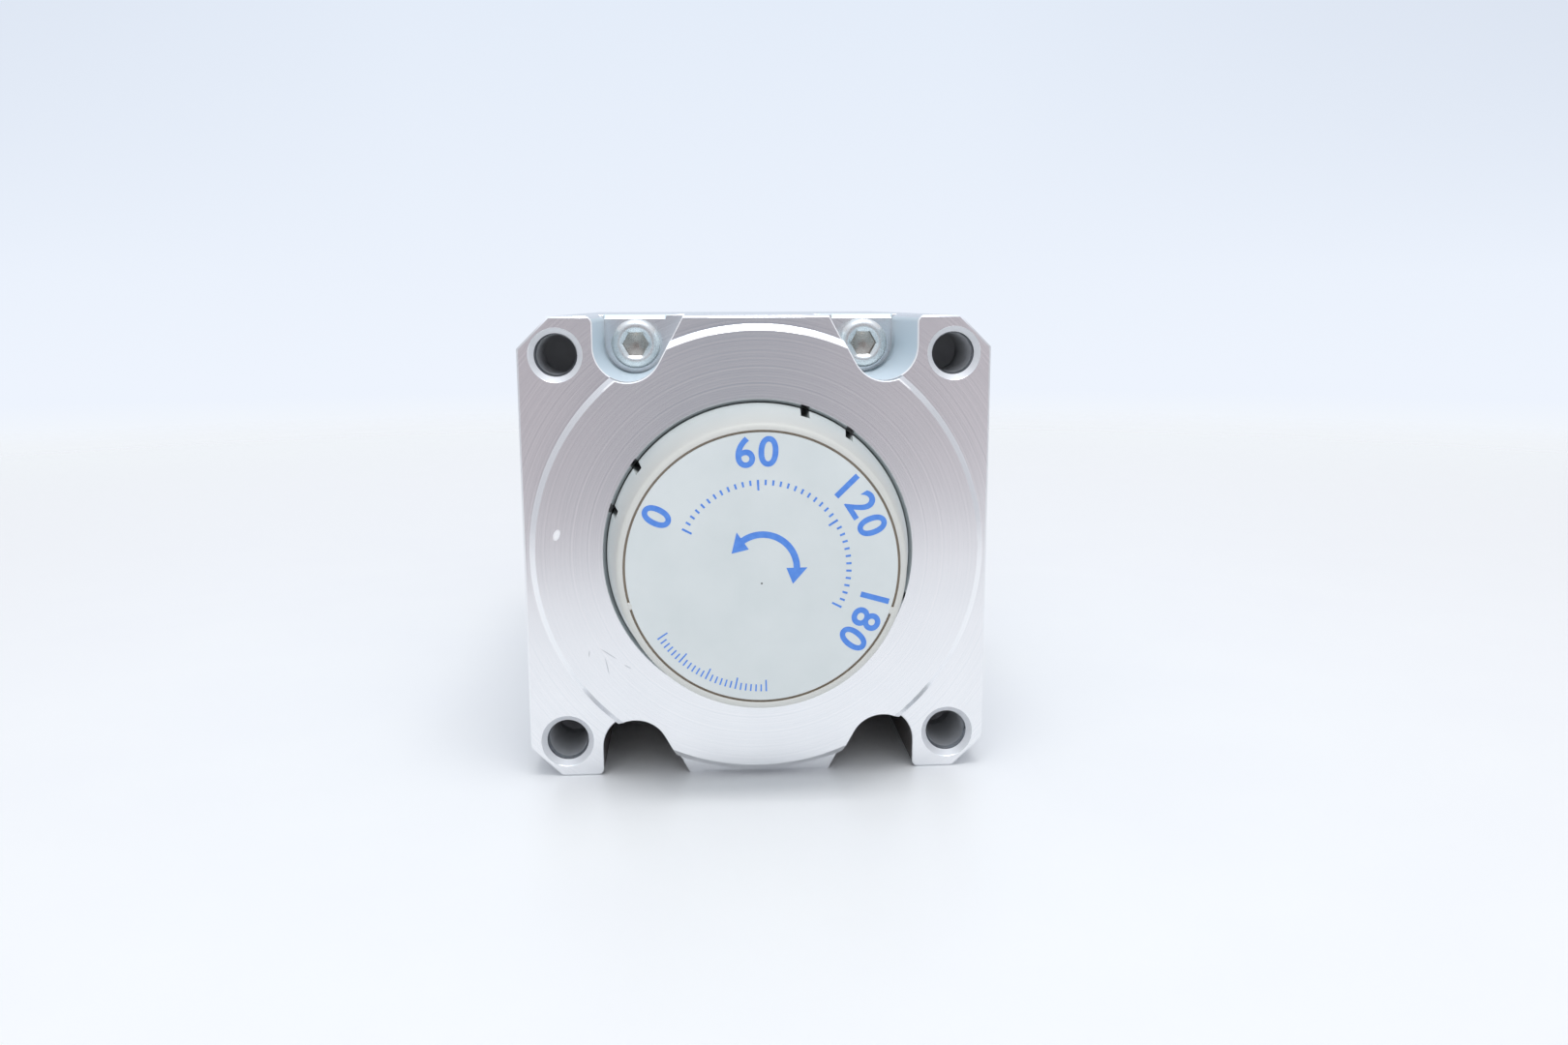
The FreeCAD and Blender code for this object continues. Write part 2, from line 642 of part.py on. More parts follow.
def rear_cap():
    """Tapered resin cap, held in its bore by four snap tongues."""
    recess_r = CAP_TIP_R - CAP_RIM
    inner_y = CAP_TIP_Y + DISC_T + CAP_WALL
    cap = turned([
        (0, CAP_TIP_Y + DISC_T), (recess_r, CAP_TIP_Y + DISC_T), (recess_r, CAP_TIP_Y),
        (CAP_TIP_R, CAP_TIP_Y), (CAP_BASE_R, -BOSS_H), (CAP_BASE_R, CAP_SEAT), (CAP_INNER_R, CAP_SEAT),
        (CAP_INNER_R, -BOSS_H), (CAP_TIP_R - CAP_WALL, inner_y), (0, inner_y),
    ])
    cap = cap.makeFillet(CAP_ROUND, circles_at(cap, CAP_TIP_R, CAP_TIP_Y))
    slot = block(CAP_INNER_R - CAP_WALL, CAP_BASE_R + PAST, -BOSS_H - TONGUE_RISE, CAP_SEAT + PAST,
                 -TONGUE_SLOT / 2, TONGUE_SLOT / 2)
    for side in (-1, 1):
        cap = cap.cut(around(slot, TONGUES, TONGUE_ANGLE + side * TONGUE_HALF))
    bead_half = TONGUE_HALF - math.degrees(TONGUE_SLOT / CAP_BASE_R)
    low, high = SNAP_Y - SNAP_W / 4, SNAP_Y + SNAP_W / 4
    bead = sector(CAP_INNER_R + CAP_WALL / 2, CAP_BORE_R + SNAP - SIDE_PLAY, low, high, 0, bead_half)
    return cap.fuse(around(bead, TONGUES, TONGUE_ANGLE)).removeSplitter()


def cap_disc():
    return cylinder(CAP_TIP_R - CAP_RIM - CAP_GROOVE, CAP_TIP_Y + DISC_LOW, CAP_TIP_Y + DISC_T)


def vane_shaft():
    """Steel shaft: tail, rear journal, hub with the vane's slot, turn stop seat and spigot."""
    hub_y0 = CHAMBER_Y + SIDE_PLAY
    hub_y1 = REAR_LEN - SIDE_PLAY
    journal_r = REAR_BORE_R - SLIP
    spigot_y = BARREL_Y + BARREL_SPIGOT
    shaft = turned([
        (0, MAGNET_ARM_Y + TAIL_SHORT), (TAIL_R, MAGNET_ARM_Y + TAIL_SHORT), (TAIL_R, TAIL_SHOULDER),
        (journal_r, TAIL_SHOULDER), (journal_r, REAR_BRG_END), (SHAFT_R, REAR_BRG_END), (SHAFT_R, hub_y0),
        (HUB_R, hub_y0), (HUB_R, hub_y1), (SHAFT_R, hub_y1), (SHAFT_R, STOP_Y), (STOP_SHAFT_R, STOP_Y),
        (STOP_SHAFT_R, spigot_y - SLIP), (0, spigot_y - SLIP),
    ])
    slot_half = VANE_ROOT_HALF + SLIP
    bolt_y = CYL_Y - BARREL_BOLT_LEN
    key_half = KEY_HALF + SLIP
    return shaft.cut([
        ring(REAR_BORE_R + PAST, REAR_BORE_R - CLIP_DEPTH, REAR_CLIP_Y - SLIP, REAR_BRG_Y),
        block(-slot_half, slot_half, hub_y0 - SLIP, hub_y1 + SLIP, HUB_R - VANE_ROOT, HUB_R + PAST),
        block(-key_half, key_half, STOP_Y, BARREL_Y, STOP_SHAFT_R - KEY_IN, STOP_SHAFT_R + PAST),
        screw_hole("M5", MAGNET_ARM_Y, TAIL_SEAT + TAIL_SCREW_LEN + TIP_GAP),
        screw_hole("M8", bolt_y - TIP_GAP, spigot_y),
    ])


def vane():
    """Metal core of the vane, with its root in the hub."""
    y0 = CHAMBER_Y + VANE_SKIN
    y1 = REAR_LEN - VANE_SKIN
    blade = sector(HUB_R + SLIP, CHAMBER_R - VANE_SKIN, y0, y1, 90, VANE_CORE_HALF)
    root = block(-VANE_ROOT_HALF, VANE_ROOT_HALF, y0, y1, HUB_R - VANE_ROOT + SLIP, HUB_R + PAST)
    return blade.fuse(root).removeSplitter()


def vane_seal(core):
    """Rubber skin that closes the vane against the chamber."""
    y0 = CHAMBER_Y + SIDE_PLAY
    y1 = REAR_LEN - SIDE_PLAY
    skin = sector(HUB_R + SLIP, CHAMBER_R - SEAL_RUN, y0, y1, 90, VANE_HALF)
    return skin.cut(core)


def stopper_half():
    """Half the stopper's width in degrees: what the vane and its turn leave free."""
    return HALF_TURN - TURN_HALF - VANE_HALF - STOP_MARGIN


def vane_stopper():
    shoe = sector(HUB_R + STOPPER_GAP, CHAMBER_R - SLIP, CHAMBER_Y, REAR_LEN - SLIP, 270, stopper_half())
    tools = [sector(HUB_R, HUB_R + SEAL_RUN + STOPPER_SEAL_T, CHAMBER_Y, REAR_LEN, 270, STOPPER_SEAL_HALF)]
    for x, z in stopper_pin_places():
        tools.append(cylinder(STOPPER_PIN_R + SLIP, CHAMBER_Y, CHAMBER_Y + STOPPER_PIN_LEN, x, z))
    return shoe.cut(tools)


def stopper_seal():
    inner = HUB_R + SEAL_RUN
    return sector(inner, inner + STOPPER_SEAL_T, CHAMBER_Y, REAR_LEN - SLIP, 270, STOPPER_SEAL_HALF)


def stopper_pins():
    y0 = CHAMBER_Y - STOPPER_PIN_IN
    return [cylinder(STOPPER_PIN_R, y0, y0 + STOPPER_PIN_LEN, x, z) for x, z in stopper_pin_places()]


def housing_seal():
    return torus(FACE_SEAL_R_AT, FACE_SEAL_R, REAR_LEN - FACE_SEAL_R - SLIP)


def shaft_seals():
    return [torus(SHAFT_R + SEAL_RUN + SHAFT_SEAL_R, SHAFT_SEAL_R, y) for y in SHAFT_SEALS]


def rotary_seals():
    inner = BARREL_R + SEAL_RUN
    half = ROTARY_SEAL_W / 2
    return [ring(inner + ROTARY_SEAL_T, inner, y - half, y + half) for y in ROTARY_SEALS]


def bearing_rings(bore_r, out_r, ball_r, y0):
    """Outer and inner ring of a deep groove bearing."""
    pitch = (bore_r + out_r) / 2
    shoulder = ball_r * RACE_SHOULDER
    race = torus(pitch, ball_r + BALL_PLAY, y0 + BEARING_W / 2)
    outer = ring(out_r, pitch + shoulder, y0, y0 + BEARING_W).cut(race)
    inner = ring(pitch - shoulder, bore_r, y0, y0 + BEARING_W).cut(race)
    return outer, inner


def bearing_balls(bore_r, out_r, ball_r, count, y0):
    pitch = (bore_r + out_r) / 2
    ball = Part.makeSphere(ball_r, V(pitch, y0 + BEARING_W / 2, 0))
    return around(ball, count)


def bearing_cage(bore_r, out_r, ball_r, count, y0):
    """Crown cage: a ring beside the balls, with a finger between each pair."""
    pitch = (bore_r + out_r) / 2
    half = ball_r * RACE_SHOULDER - FREE
    side_y = y0 + BEARING_W / 2 + ball_r + SIDE_PLAY
    crown = ring(pitch + half, pitch - half, side_y, side_y + CAGE_T)
    finger_half = (math.pi * pitch / count - ball_r) / 2
    finger = block(pitch - half, pitch + half, y0 + BEARING_W / 2, side_y + CAGE_T, -finger_half, finger_half)
    return crown.fuse(around(finger, count, HALF_TURN / count)).removeSplitter()


def rear_bearing_clip():
    outer = REAR_OUT_R + CLIP_DEPTH
    return clip(outer - CLIP_WIDTH, outer, REAR_CLIP_Y)


def shaft_clip():
    inner = REAR_BORE_R - CLIP_DEPTH + SLIP
    return clip(inner, inner + CLIP_WIDTH, REAR_CLIP_Y)


def magnet_arm():
    """Arm on the shaft's tail that carries the position magnet."""
    y1 = TAIL_SHOULDER
    end_r = MAGNET_R + MAGNET_WALL
    arm = cylinder(MAGNET_ARM_HUB_R, MAGNET_ARM_Y, y1)
    arm = arm.fuse([block(0, MAGNET_X, MAGNET_ARM_Y, y1, -end_r, end_r),
                    cylinder(end_r, MAGNET_ARM_Y, y1, MAGNET_X, 0)]).removeSplitter()
    return arm.cut([cylinder(TAIL_R + SLIP, MAGNET_ARM_Y, y1),
                    cylinder(MAGNET_R + SLIP, MAGNET_ARM_Y, MAGNET_ARM_Y + MAGNET_T, MAGNET_X, 0)])


def arm_magnet():
    return cylinder(MAGNET_R, MAGNET_ARM_Y, MAGNET_ARM_Y + MAGNET_T, MAGNET_X, 0)


def tail_washer():
    return ring(WASHER_R, SCREWS["M5"][0] + RUN, TAIL_SEAT, MAGNET_ARM_Y)


def tail_screw():
    return cap_screw("M5", TAIL_SEAT, TAIL_SEAT + TAIL_SCREW_LEN)


def key_tool(extra):
    half = KEY_HALF + extra
    return block(-half, half, STOP_Y, BARREL_Y, STOP_SHAFT_R - KEY_IN, STOP_SHAFT_R + KEY_IN + extra)


def stop_lever():
    """Arm that meets an adjusting screw at each end of the turn."""
    hub = cylinder(STOP_HUB_R, STOP_Y, BARREL_Y)
    arm = block(-STOP_ARM_R, 0, STOP_Y, BARREL_Y, -STOP_ARM_HALF, STOP_ARM_HALF)
    arm = arm.common(cylinder(STOP_ARM_R, STOP_Y, BARREL_Y))
    bore = cylinder(STOP_SHAFT_R + SLIP, STOP_Y, BARREL_Y)
    return hub.fuse(arm).removeSplitter().cut([bore, key_tool(SLIP)])


def angle_screws():
    """Two adjusting screws that set the ends of the turn."""
    start = STOP_ARM_HALF + STOP_TOUCH
    end = HALF + ADJUST_OUT
    bar = cylinder(ADJUST_R, start, end).cut(hexagon(ADJUST_KEY, end - ADJUST_SOCKET, end))
    bar = bar.makeChamfer(ADJUST_R / 4, circles_at(bar, ADJUST_R, start))
    return [lay_along_x(bar, STOP_Y + STOP_T / 2, z) for z in (ADJUST_Z, -ADJUST_Z)]


def angle_lock_nuts():
    nut = hexagon(NUT_AF, HALF, HALF + NUT_T).cut(cylinder(ADJUST_R + RUN, HALF, HALF + NUT_T))
    return [lay_along_x(nut, STOP_Y + STOP_T / 2, z) for z in (ADJUST_Z, -ADJUST_Z)]


def barrel():
    """Turning cylinder of the gripper, with its air passages."""
    journal_r = FRONT_BORE_R - SLIP
    body = turned([(0, BARREL_Y), (BARREL_R, BARREL_Y), (BARREL_R, FRONT_BRG_Y), (journal_r, FRONT_BRG_Y),
                   (journal_r, BARREL_TIP), (0, BARREL_TIP)])
    space_y = COVER_Y - COVER_SPACE / 2
    tools = [
        cylinder(BARREL_BORE_R, CYL_Y, BARREL_TIP + PAST),
        cylinder(STOP_SHAFT_R + SLIP, BARREL_Y - PAST, BARREL_Y + BARREL_SPIGOT),
        screw_hole("M8", BARREL_Y, CYL_Y + PAST),
        cylinder(BARREL_BORE_R + CLIP_DEPTH + SLIP, COVER_CLIP_Y, COVER_CLIP_Y + CLIP_T + SLIP),
        cylinder_x(AIR_R, BARREL_BORE_R - PAST, BARREL_R + PAST, PORTS[0], 0),
        cylinder_x(AIR_R, BARREL_WALL_R, BARREL_R + PAST, PORTS[1], 0),
        cylinder_x(AIR_R * 2 / 3, BARREL_BORE_R - PAST, BARREL_WALL_R, space_y, 0),
        cylinder(AIR_R, PORTS[1] - AIR_R, BARREL_TIP + PAST, BARREL_WALL_R, 0),
    ]
    tip = HEAD_Y + HEAD_SCREW_SEAT - HEAD_SCREW_LEN
    tools += four(screw_hole("M4", tip - TIP_GAP, BARREL_TIP + PAST, HEAD_SCREW_X, HEAD_SCREW_Z))
    return body.cut(tools)


def barrel_bolt():
    return cap_screw("M8", CYL_Y, CYL_Y - BARREL_BOLT_LEN)


def rod_seal_y():
    return COVER_Y + COVER_LEN / 2


def rod_cover():
    half = ROD_SEAL_R + SLIP
    groove = cylinder(ROD_R + SEAL_RUN + 2 * ROD_SEAL_R + SLIP, rod_seal_y() - half, rod_seal_y() + half)
    return ring(BARREL_BORE_R - SLIP, ROD_R + RUN, COVER_Y, COVER_CLIP_Y).cut(groove)


def rod_seal():
    return torus(ROD_R + SEAL_RUN + ROD_SEAL_R, ROD_SEAL_R, rod_seal_y())


def cover_clip():
    outer = BARREL_BORE_R + CLIP_DEPTH
    return clip(outer - CLIP_WIDTH, outer, COVER_CLIP_Y)


def piston_ring(start, width, outer, thick):
    y0 = PISTON_Y + start
    return ring(outer, outer - thick, y0, y0 + width)


def piston_seal():
    return piston_ring(PISTON_SEAL_Y, PISTON_SEAL_W, BARREL_BORE_R - RUN, PISTON_SEAL_T)


def piston_magnet():
    outer = BARREL_BORE_R - PISTON_MAGNET_LOW
    return piston_ring(PISTON_MAGNET_Y, PISTON_MAGNET_W, outer, PISTON_MAGNET_T)


def piston_screw_seat():
    return PISTON_Y + SCREWS["M4"][2] + SIDE_PLAY


def piston():
    body = cylinder(BARREL_BORE_R - RUN, PISTON_Y, PISTON_FACE)
    seal_r = BARREL_BORE_R - RUN - PISTON_SEAL_T - SLIP
    magnet_r = BARREL_BORE_R - PISTON_MAGNET_LOW - PISTON_MAGNET_T - SLIP
    seal_y = PISTON_Y + PISTON_SEAL_Y
    magnet_y = PISTON_Y + PISTON_MAGNET_Y
    return body.cut([
        ring(BARREL_BORE_R, seal_r, seal_y - SLIP, seal_y + PISTON_SEAL_W + SLIP),
        ring(BARREL_BORE_R, magnet_r, magnet_y - SLIP, magnet_y + PISTON_MAGNET_W + SLIP),
        screw_hole("M4", PISTON_Y, PISTON_FACE),
        head_sink("M4", PISTON_Y - PAST, piston_screw_seat()),
    ])


def piston_rod():
    """Rod with a slotted head that drives both levers."""
    head_y = DRIVE_Y - ROD_HEAD_LEN / 2
    rod = cylinder(ROD_R, PISTON_FACE, head_y)
    head = block(-ROD_HEAD_HALF, ROD_HEAD_HALF, head_y, head_y + ROD_HEAD_LEN, -LEVER_HALF, LEVER_HALF)
    slot_half = LEVER_END_R + SIDE_PLAY
    slot = block(ROD_WEB_HALF, ROD_HEAD_HALF + PAST, DRIVE_Y - slot_half, DRIVE_Y + slot_half,
                 -LEVER_HALF - PAST, LEVER_HALF + PAST)
    hole = screw_hole("M4", PISTON_FACE - PAST, PISTON_FACE + PISTON_SCREW_TAP + TIP_GAP)
    return rod.fuse(head).cut([slot, mirror_x(slot), hole])


def piston_screw():
    return cap_screw("M4", piston_screw_seat(), PISTON_FACE + PISTON_SCREW_TAP)


def bearing_retainer():
    plate = ring(RETAINER_R - SLIP, RETAINER_BORE_R, RETAINER_Y, FRONT_END)
    hole = screw_hole("M3", RETAINER_Y, FRONT_END, RETAINER_SCREW_R, 0)
    sink = head_sink("M3", FRONT_END - SCREWS["M3"][2] - SIDE_PLAY, FRONT_END, RETAINER_SCREW_R, 0)
    return plate.cut(around(hole.fuse(sink), RETAINER_SCREWS, HALF_TURN / RETAINER_SCREWS))


def retainer_screws():
    seat = FRONT_END - SCREWS["M3"][2] - SIDE_PLAY
    screw = cap_screw("M3", seat, RETAINER_Y - RETAINER_TAP + TIP_GAP, RETAINER_SCREW_R, 0)
    return around(screw, RETAINER_SCREWS, HALF_TURN / RETAINER_SCREWS)


def dust_seal():
    return ring(RETAINER_BORE_R - SLIP, HEAD_HUB_R + SEAL_RUN, FRONT_END - DUST_SEAL_W, FRONT_END)


def gripper_head():
    """Round head on the barrel, with the slot that the levers swing in."""
    body = turned([
        (0, RETAINER_Y), (HEAD_HUB_R, RETAINER_Y), (HEAD_HUB_R, HEAD_Y), (HEAD_R - HEAD_CHAMFER, HEAD_Y),
        (HEAD_R, HEAD_Y + HEAD_CHAMFER), (HEAD_R, HEAD_FACE - HEAD_CHAMFER),
        (HEAD_R - HEAD_CHAMFER, HEAD_FACE), (0, HEAD_FACE),
    ])
    tools = [
        cylinder(FRONT_BORE_R, RETAINER_Y - PAST, BARREL_TIP),
        cylinder(ROD_R + FREE, RETAINER_Y, DRIVE_Y - ROD_HEAD_LEN / 2 + PAST),
        block(-POCKET_HALF, POCKET_HALF, BARREL_TIP - PAST, HEAD_FACE, -WINDOW_Z, WINDOW_Z),
        block(-WINDOW_X, WINDOW_X, HEAD_Y + SLOT_RISE, HEAD_FACE + PAST, -WINDOW_Z, WINDOW_Z),
    ]
    for x in (-PIVOT_X, PIVOT_X):
        tools.append(cylinder_z(PIN_R + SLIP, -PIN_HALF, HEAD_R, x, PIVOT_Y))
    seat = HEAD_Y + HEAD_SCREW_SEAT
    screw = screw_hole("M4", RETAINER_Y, HEAD_FACE, HEAD_SCREW_X, HEAD_SCREW_Z)
    tools += four(screw.fuse(head_sink("M4", seat, HEAD_FACE + PAST, HEAD_SCREW_X, HEAD_SCREW_Z)))
    tap_y = HEAD_FACE - GUIDE_SCREW_TAP
    tools += four(screw_hole("M3", tap_y, HEAD_FACE + PAST, GUIDE_SCREW_X, GUIDE_SCREW_Z))
    return body.cut(tools)


def head_screws():
    seat = HEAD_Y + HEAD_SCREW_SEAT
    return four(cap_screw("M4", seat, seat - HEAD_SCREW_LEN, HEAD_SCREW_X, HEAD_SCREW_Z))


def lever_pins():
    return [cylinder_z(PIN_R, -PIN_HALF, PIN_HALF, x, PIVOT_Y) for x in (-PIVOT_X, PIVOT_X)]


def lever_right():
    """Bell crank in its open place: one end in the rod's head, the other in the finger."""
    swing = math.asin(STROKE / 2 / ARM)
    ahead = V(math.sin(swing), math.cos(swing), 0)
    inward = V(-math.cos(swing), math.sin(swing), 0)
    low = V(PIVOT_X, PIVOT_Y, -LEVER_HALF)
    thick = V(0, 0, 2 * LEVER_HALF)
    pieces = [prism([low, low + ahead * WEB_REACH, low + inward * WEB_REACH], thick)]
    for along, across in ((ahead, inward), (inward, ahead)):
        end = low + along * ARM
        side = across * ARM_HALF
        pieces.append(prism([low - side, end - side, end + side, low + side], thick))
        pieces.append(Part.makeCylinder(LEVER_END_R, 2 * LEVER_HALF, end))
    eye = Part.makeCylinder(LEVER_EYE_R, 2 * LEVER_HALF, low)
    hole = Part.makeCylinder(PIN_R + RUN, 2 * LEVER_HALF, low)
    return eye.fuse(pieces).removeSplitter().cut(hole)


def finger_guide():
    """Channel that both fingers slide in, with a ball groove along each wall."""
    body = block(-GUIDE_HALF_X, GUIDE_HALF_X, HEAD_FACE, GUIDE_FACE, -GUIDE_HALF_Z, GUIDE_HALF_Z)
    body = body.makeChamfer(GUIDE_CHAMFER, face_edges(body, GUIDE_FACE))
    tools = [
        block(-GUIDE_HALF_X, GUIDE_HALF_X, CHANNEL_Y, GUIDE_FACE, -CHANNEL_HALF, CHANNEL_HALF),
        block(-WINDOW_X, WINDOW_X, HEAD_FACE, CHANNEL_Y, -WINDOW_Z, WINDOW_Z),
    ]
    sink_y = GUIDE_FACE - GUIDE_SCREW_SINK
    screw = screw_hole("M3", HEAD_FACE, GUIDE_FACE, GUIDE_SCREW_X, GUIDE_SCREW_Z)
    tools += four(screw.fuse(head_sink("M3", sink_y, GUIDE_FACE, GUIDE_SCREW_X, GUIDE_SCREW_Z)))
    for z in (BALL_Z, -BALL_Z):
        tools.append(cylinder_x(GUIDE_BALL_R + BALL_PLAY, -GUIDE_HALF_X, GUIDE_HALF_X, BALL_Y, z))
    hole_x = GUIDE_HALF_X - END_SCREW_LEN
    hole = cylinder_x(END_SCREW_R + SLIP, hole_x, GUIDE_HALF_X, end_screw_y(), END_SCREW_Z)
    return body.cut(tools + four(hole))


def guide_screws():
    seat = GUIDE_FACE - GUIDE_SCREW_SINK
    tip = HEAD_FACE - GUIDE_SCREW_TAP + TIP_GAP
    return four(cap_screw("M3", seat, tip, GUIDE_SCREW_X, GUIDE_SCREW_Z))


def end_screw_y():
    return HEAD_FACE + GUIDE_FLOOR


def guide_end_plates():
    x1 = GUIDE_HALF_X + END_PLATE_T
    plate = block(GUIDE_HALF_X, x1, HEAD_FACE + END_PLATE_EDGE, GUIDE_FACE - END_PLATE_EDGE,
                  -END_PLATE_HALF, END_PLATE_HALF)
    for z in (END_SCREW_Z, -END_SCREW_Z):
        plate = plate.cut(cylinder_x(END_SCREW_R + RUN, GUIDE_HALF_X, x1, end_screw_y(), z))
    return [plate, mirror_x(plate)]


def end_plate_screws():
    seat = GUIDE_HALF_X + END_PLATE_T
    head = cylinder_x(END_SCREW_HEAD_R, seat, seat + END_SCREW_HEAD_T, end_screw_y(), END_SCREW_Z)
    shank = cylinder_x(END_SCREW_R, GUIDE_HALF_X - END_SCREW_LEN, seat, end_screw_y(), END_SCREW_Z)
    return four(head.fuse(shank))


def finger_right():
    """Finger with its slide, in its open place."""
    base_half = CHANNEL_HALF - FINGER_PLAY
    base = block(BASE_START, BASE_END, BASE_Y, BASE_TOP, -base_half, base_half)
    jaw = block(JAW_GAP, JAW_GAP + JAW_T, BASE_TOP, JAW_TIP, -JAW_HALF_Z, JAW_HALF_Z)
    jaw = jaw.makeChamfer(JAW_CHAMFER, face_edges(jaw, JAW_TIP))
    slot_half = LEVER_END_R + SIDE_PLAY
    slot_top = PIVOT_Y + ARM + LEVER_END_R + FREE
    tools = [block(FINGER_X - slot_half, FINGER_X + slot_half, BASE_Y, slot_top, -WINDOW_Z, WINDOW_Z)]
    for z in (BALL_Z, -BALL_Z):
        tools.append(cylinder_x(GUIDE_BALL_R + BALL_PLAY, BASE_START - PAST, BASE_END + PAST, BALL_Y, z))
    for k in range(2):
        y = JAW_TIP - JAW_TAP_TIP - k * JAW_TAP_PITCH
        tools.append(cylinder_x(JAW_TAP_R, JAW_GAP - PAST, JAW_GAP + JAW_T + PAST, y, 0))
    return base.fuse(jaw).cut(tools)


def guide_balls_right():
    balls = []
    for z in (BALL_Z, -BALL_Z):
        for k in range(GUIDE_BALLS):
            x = BALL_X + (k - (GUIDE_BALLS - 1) / 2) * GUIDE_BALL_PITCH
            balls.append(Part.makeSphere(GUIDE_BALL_R, V(x, BALL_Y, z)))
    return balls


def save(node, shape):
    """Writes a piece, or a group of like pieces, as one node."""
    if isinstance(shape, list):
        shape = Part.makeCompound(shape)
    shape.exportStep("parts/" + node + ".step")


def main():
    os.makedirs("parts", exist_ok=True)
    core = vane()
    save("vane", core)
    save("vane_seal", vane_seal(core))
    for name, bore_r, out_r, ball_r, count, y0 in (
            ("rear_bearing", REAR_BORE_R, REAR_OUT_R, REAR_BALL_R, REAR_BALLS, REAR_BRG_Y),
            ("front_bearing", FRONT_BORE_R, FRONT_OUT_R, FRONT_BALL_R, FRONT_BALLS, FRONT_BRG_Y)):
        outer, inner = bearing_rings(bore_r, out_r, ball_r, y0)
        save(name + "_outer", outer)
        save(name + "_inner", inner)
        save(name + "_balls", bearing_balls(bore_r, out_r, ball_r, count, y0))
        save(name + "_cage", bearing_cage(bore_r, out_r, ball_r, count, y0))
    for make in (
            rear_body, front_body, housing_screws, rear_cap, cap_disc, vane_shaft, vane_stopper, stopper_seal,
            stopper_pins, housing_seal, shaft_seals, rotary_seals, rear_bearing_clip, shaft_clip, magnet_arm,
            arm_magnet, tail_washer, tail_screw, stop_lever, angle_screws, angle_lock_nuts, barrel,
            barrel_bolt, rod_cover, rod_seal, cover_clip, piston, piston_seal, piston_magnet, piston_rod,
            piston_screw,
            bearing_retainer, retainer_screws, dust_seal, gripper_head, head_screws, lever_pins, finger_guide,
            guide_screws, guide_end_plates, end_plate_screws):
        save(make.__name__, make())
    save("stop_key", key_tool(0))
    for name, right in (("lever", lever_right()), ("finger", finger_right())):
        save(name + "_right", right)
        save(name + "_left", mirror_x(right))
    balls = guide_balls_right()
    save("guide_balls_right", balls)
    save("guide_balls_left", [mirror_x(ball) for ball in balls])


main()
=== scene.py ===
import json
import math

import bmesh
import bpy
from mathutils import Matrix, Vector


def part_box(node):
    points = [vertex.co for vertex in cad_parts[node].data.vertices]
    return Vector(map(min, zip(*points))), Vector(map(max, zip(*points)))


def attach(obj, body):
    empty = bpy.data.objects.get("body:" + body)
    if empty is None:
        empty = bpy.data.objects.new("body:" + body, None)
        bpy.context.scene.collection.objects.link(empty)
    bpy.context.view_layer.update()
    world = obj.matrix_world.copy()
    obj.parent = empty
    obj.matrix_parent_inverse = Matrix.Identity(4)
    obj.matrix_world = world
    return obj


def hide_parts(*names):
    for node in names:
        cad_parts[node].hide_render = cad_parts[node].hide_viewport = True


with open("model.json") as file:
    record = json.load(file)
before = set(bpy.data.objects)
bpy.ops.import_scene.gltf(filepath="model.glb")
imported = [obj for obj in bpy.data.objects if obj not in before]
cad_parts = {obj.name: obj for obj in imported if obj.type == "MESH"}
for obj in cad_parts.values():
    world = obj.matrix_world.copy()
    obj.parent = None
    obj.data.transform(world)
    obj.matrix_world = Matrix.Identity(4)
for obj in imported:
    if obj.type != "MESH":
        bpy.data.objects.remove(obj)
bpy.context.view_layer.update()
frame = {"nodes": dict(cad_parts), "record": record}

# Sizes are in millimetres and become metres through MM. The turning axis is Y, the flange's face is at
# y = 0 and looks along -Y, and +Z is up. Angles are in degrees. Seen from the flange's side they run from
# +X towards +Z.
MM = 0.001
MERGE = 0.002 * MM             # points closer than this are one point
SAME = 0.01                    # sizes closer than this are one size

# Meshing
SPIN_STEPS = 72                # round a turned piece: a multiple of six, so that a hexagon keeps its corners
THREAD_STEPS = 32              # per turn of a thread
THREAD_FLANK = 0.44            # length of a thread's flank along its axis, as a share of the pitch
THREAD_SINK = 0.02             # how far a thread's foot goes into its wall
SHARP_EDGE = 32                # an edge that bends more than this looks sharp
OUTER_EDGE = 50                # an edge of a CAD node that bends more than this is broken
FLAT_EDGE = 0.2                # an edge of a CAD node that bends less than this is dissolved
BREAK_STEPS = 3                # faces across a broken edge

mounts = {mount["name"]: mount for mount in frame["record"]["mounts"]}
slot_of = {part["node"]: part["material_slot"] for part in frame["record"]["subparts"]}
body_of = {node: body for body, nodes in frame["record"]["behaviour"]["bodies"].items() for node in nodes}


def span(node):
    """Lowest and highest corner of a CAD node."""
    low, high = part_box(node)
    return low / MM, high / MM


# Sizes from the frame
disc_low, disc_high = span("cap_disc")
body_low, body_high = span("rear_body")
bolts = mounts["rear_bolts"]["dims"]
CAP_FRONT = span("rear_cap")[0].y
DISC_FACE = disc_low.y
DISC_BACK = disc_high.y
BOSS_FACE = body_low.y
HOUSING_TOP = body_high.z
HOUSING_SIDE = body_high.x
CORNER_X = bolts["spacing_x_mm"] / 2
CORNER_Z = bolts["spacing_y_mm"] / 2
CORNER_R = bolts["hole_r_mm"]
CORNER_START = mounts["rear_bolts"]["pos_m"][1] / MM

# Sizes of the cap and the notches that no box or mount gives
CAP_TIP_R = 21.9
CAP_RIM = 0.95
CAP_BORE_R = 24.25             # bore that holds the cap, and the chamfer at its mouth
CAP_MOUTH = 0.5
NOTCH_X = 17.0                 # middle of a circle that holds a notch's outline, and its radius
NOTCH_Z = 33.5
NOTCH_R = 9.7
NOTCH_DEPTH = 28.0

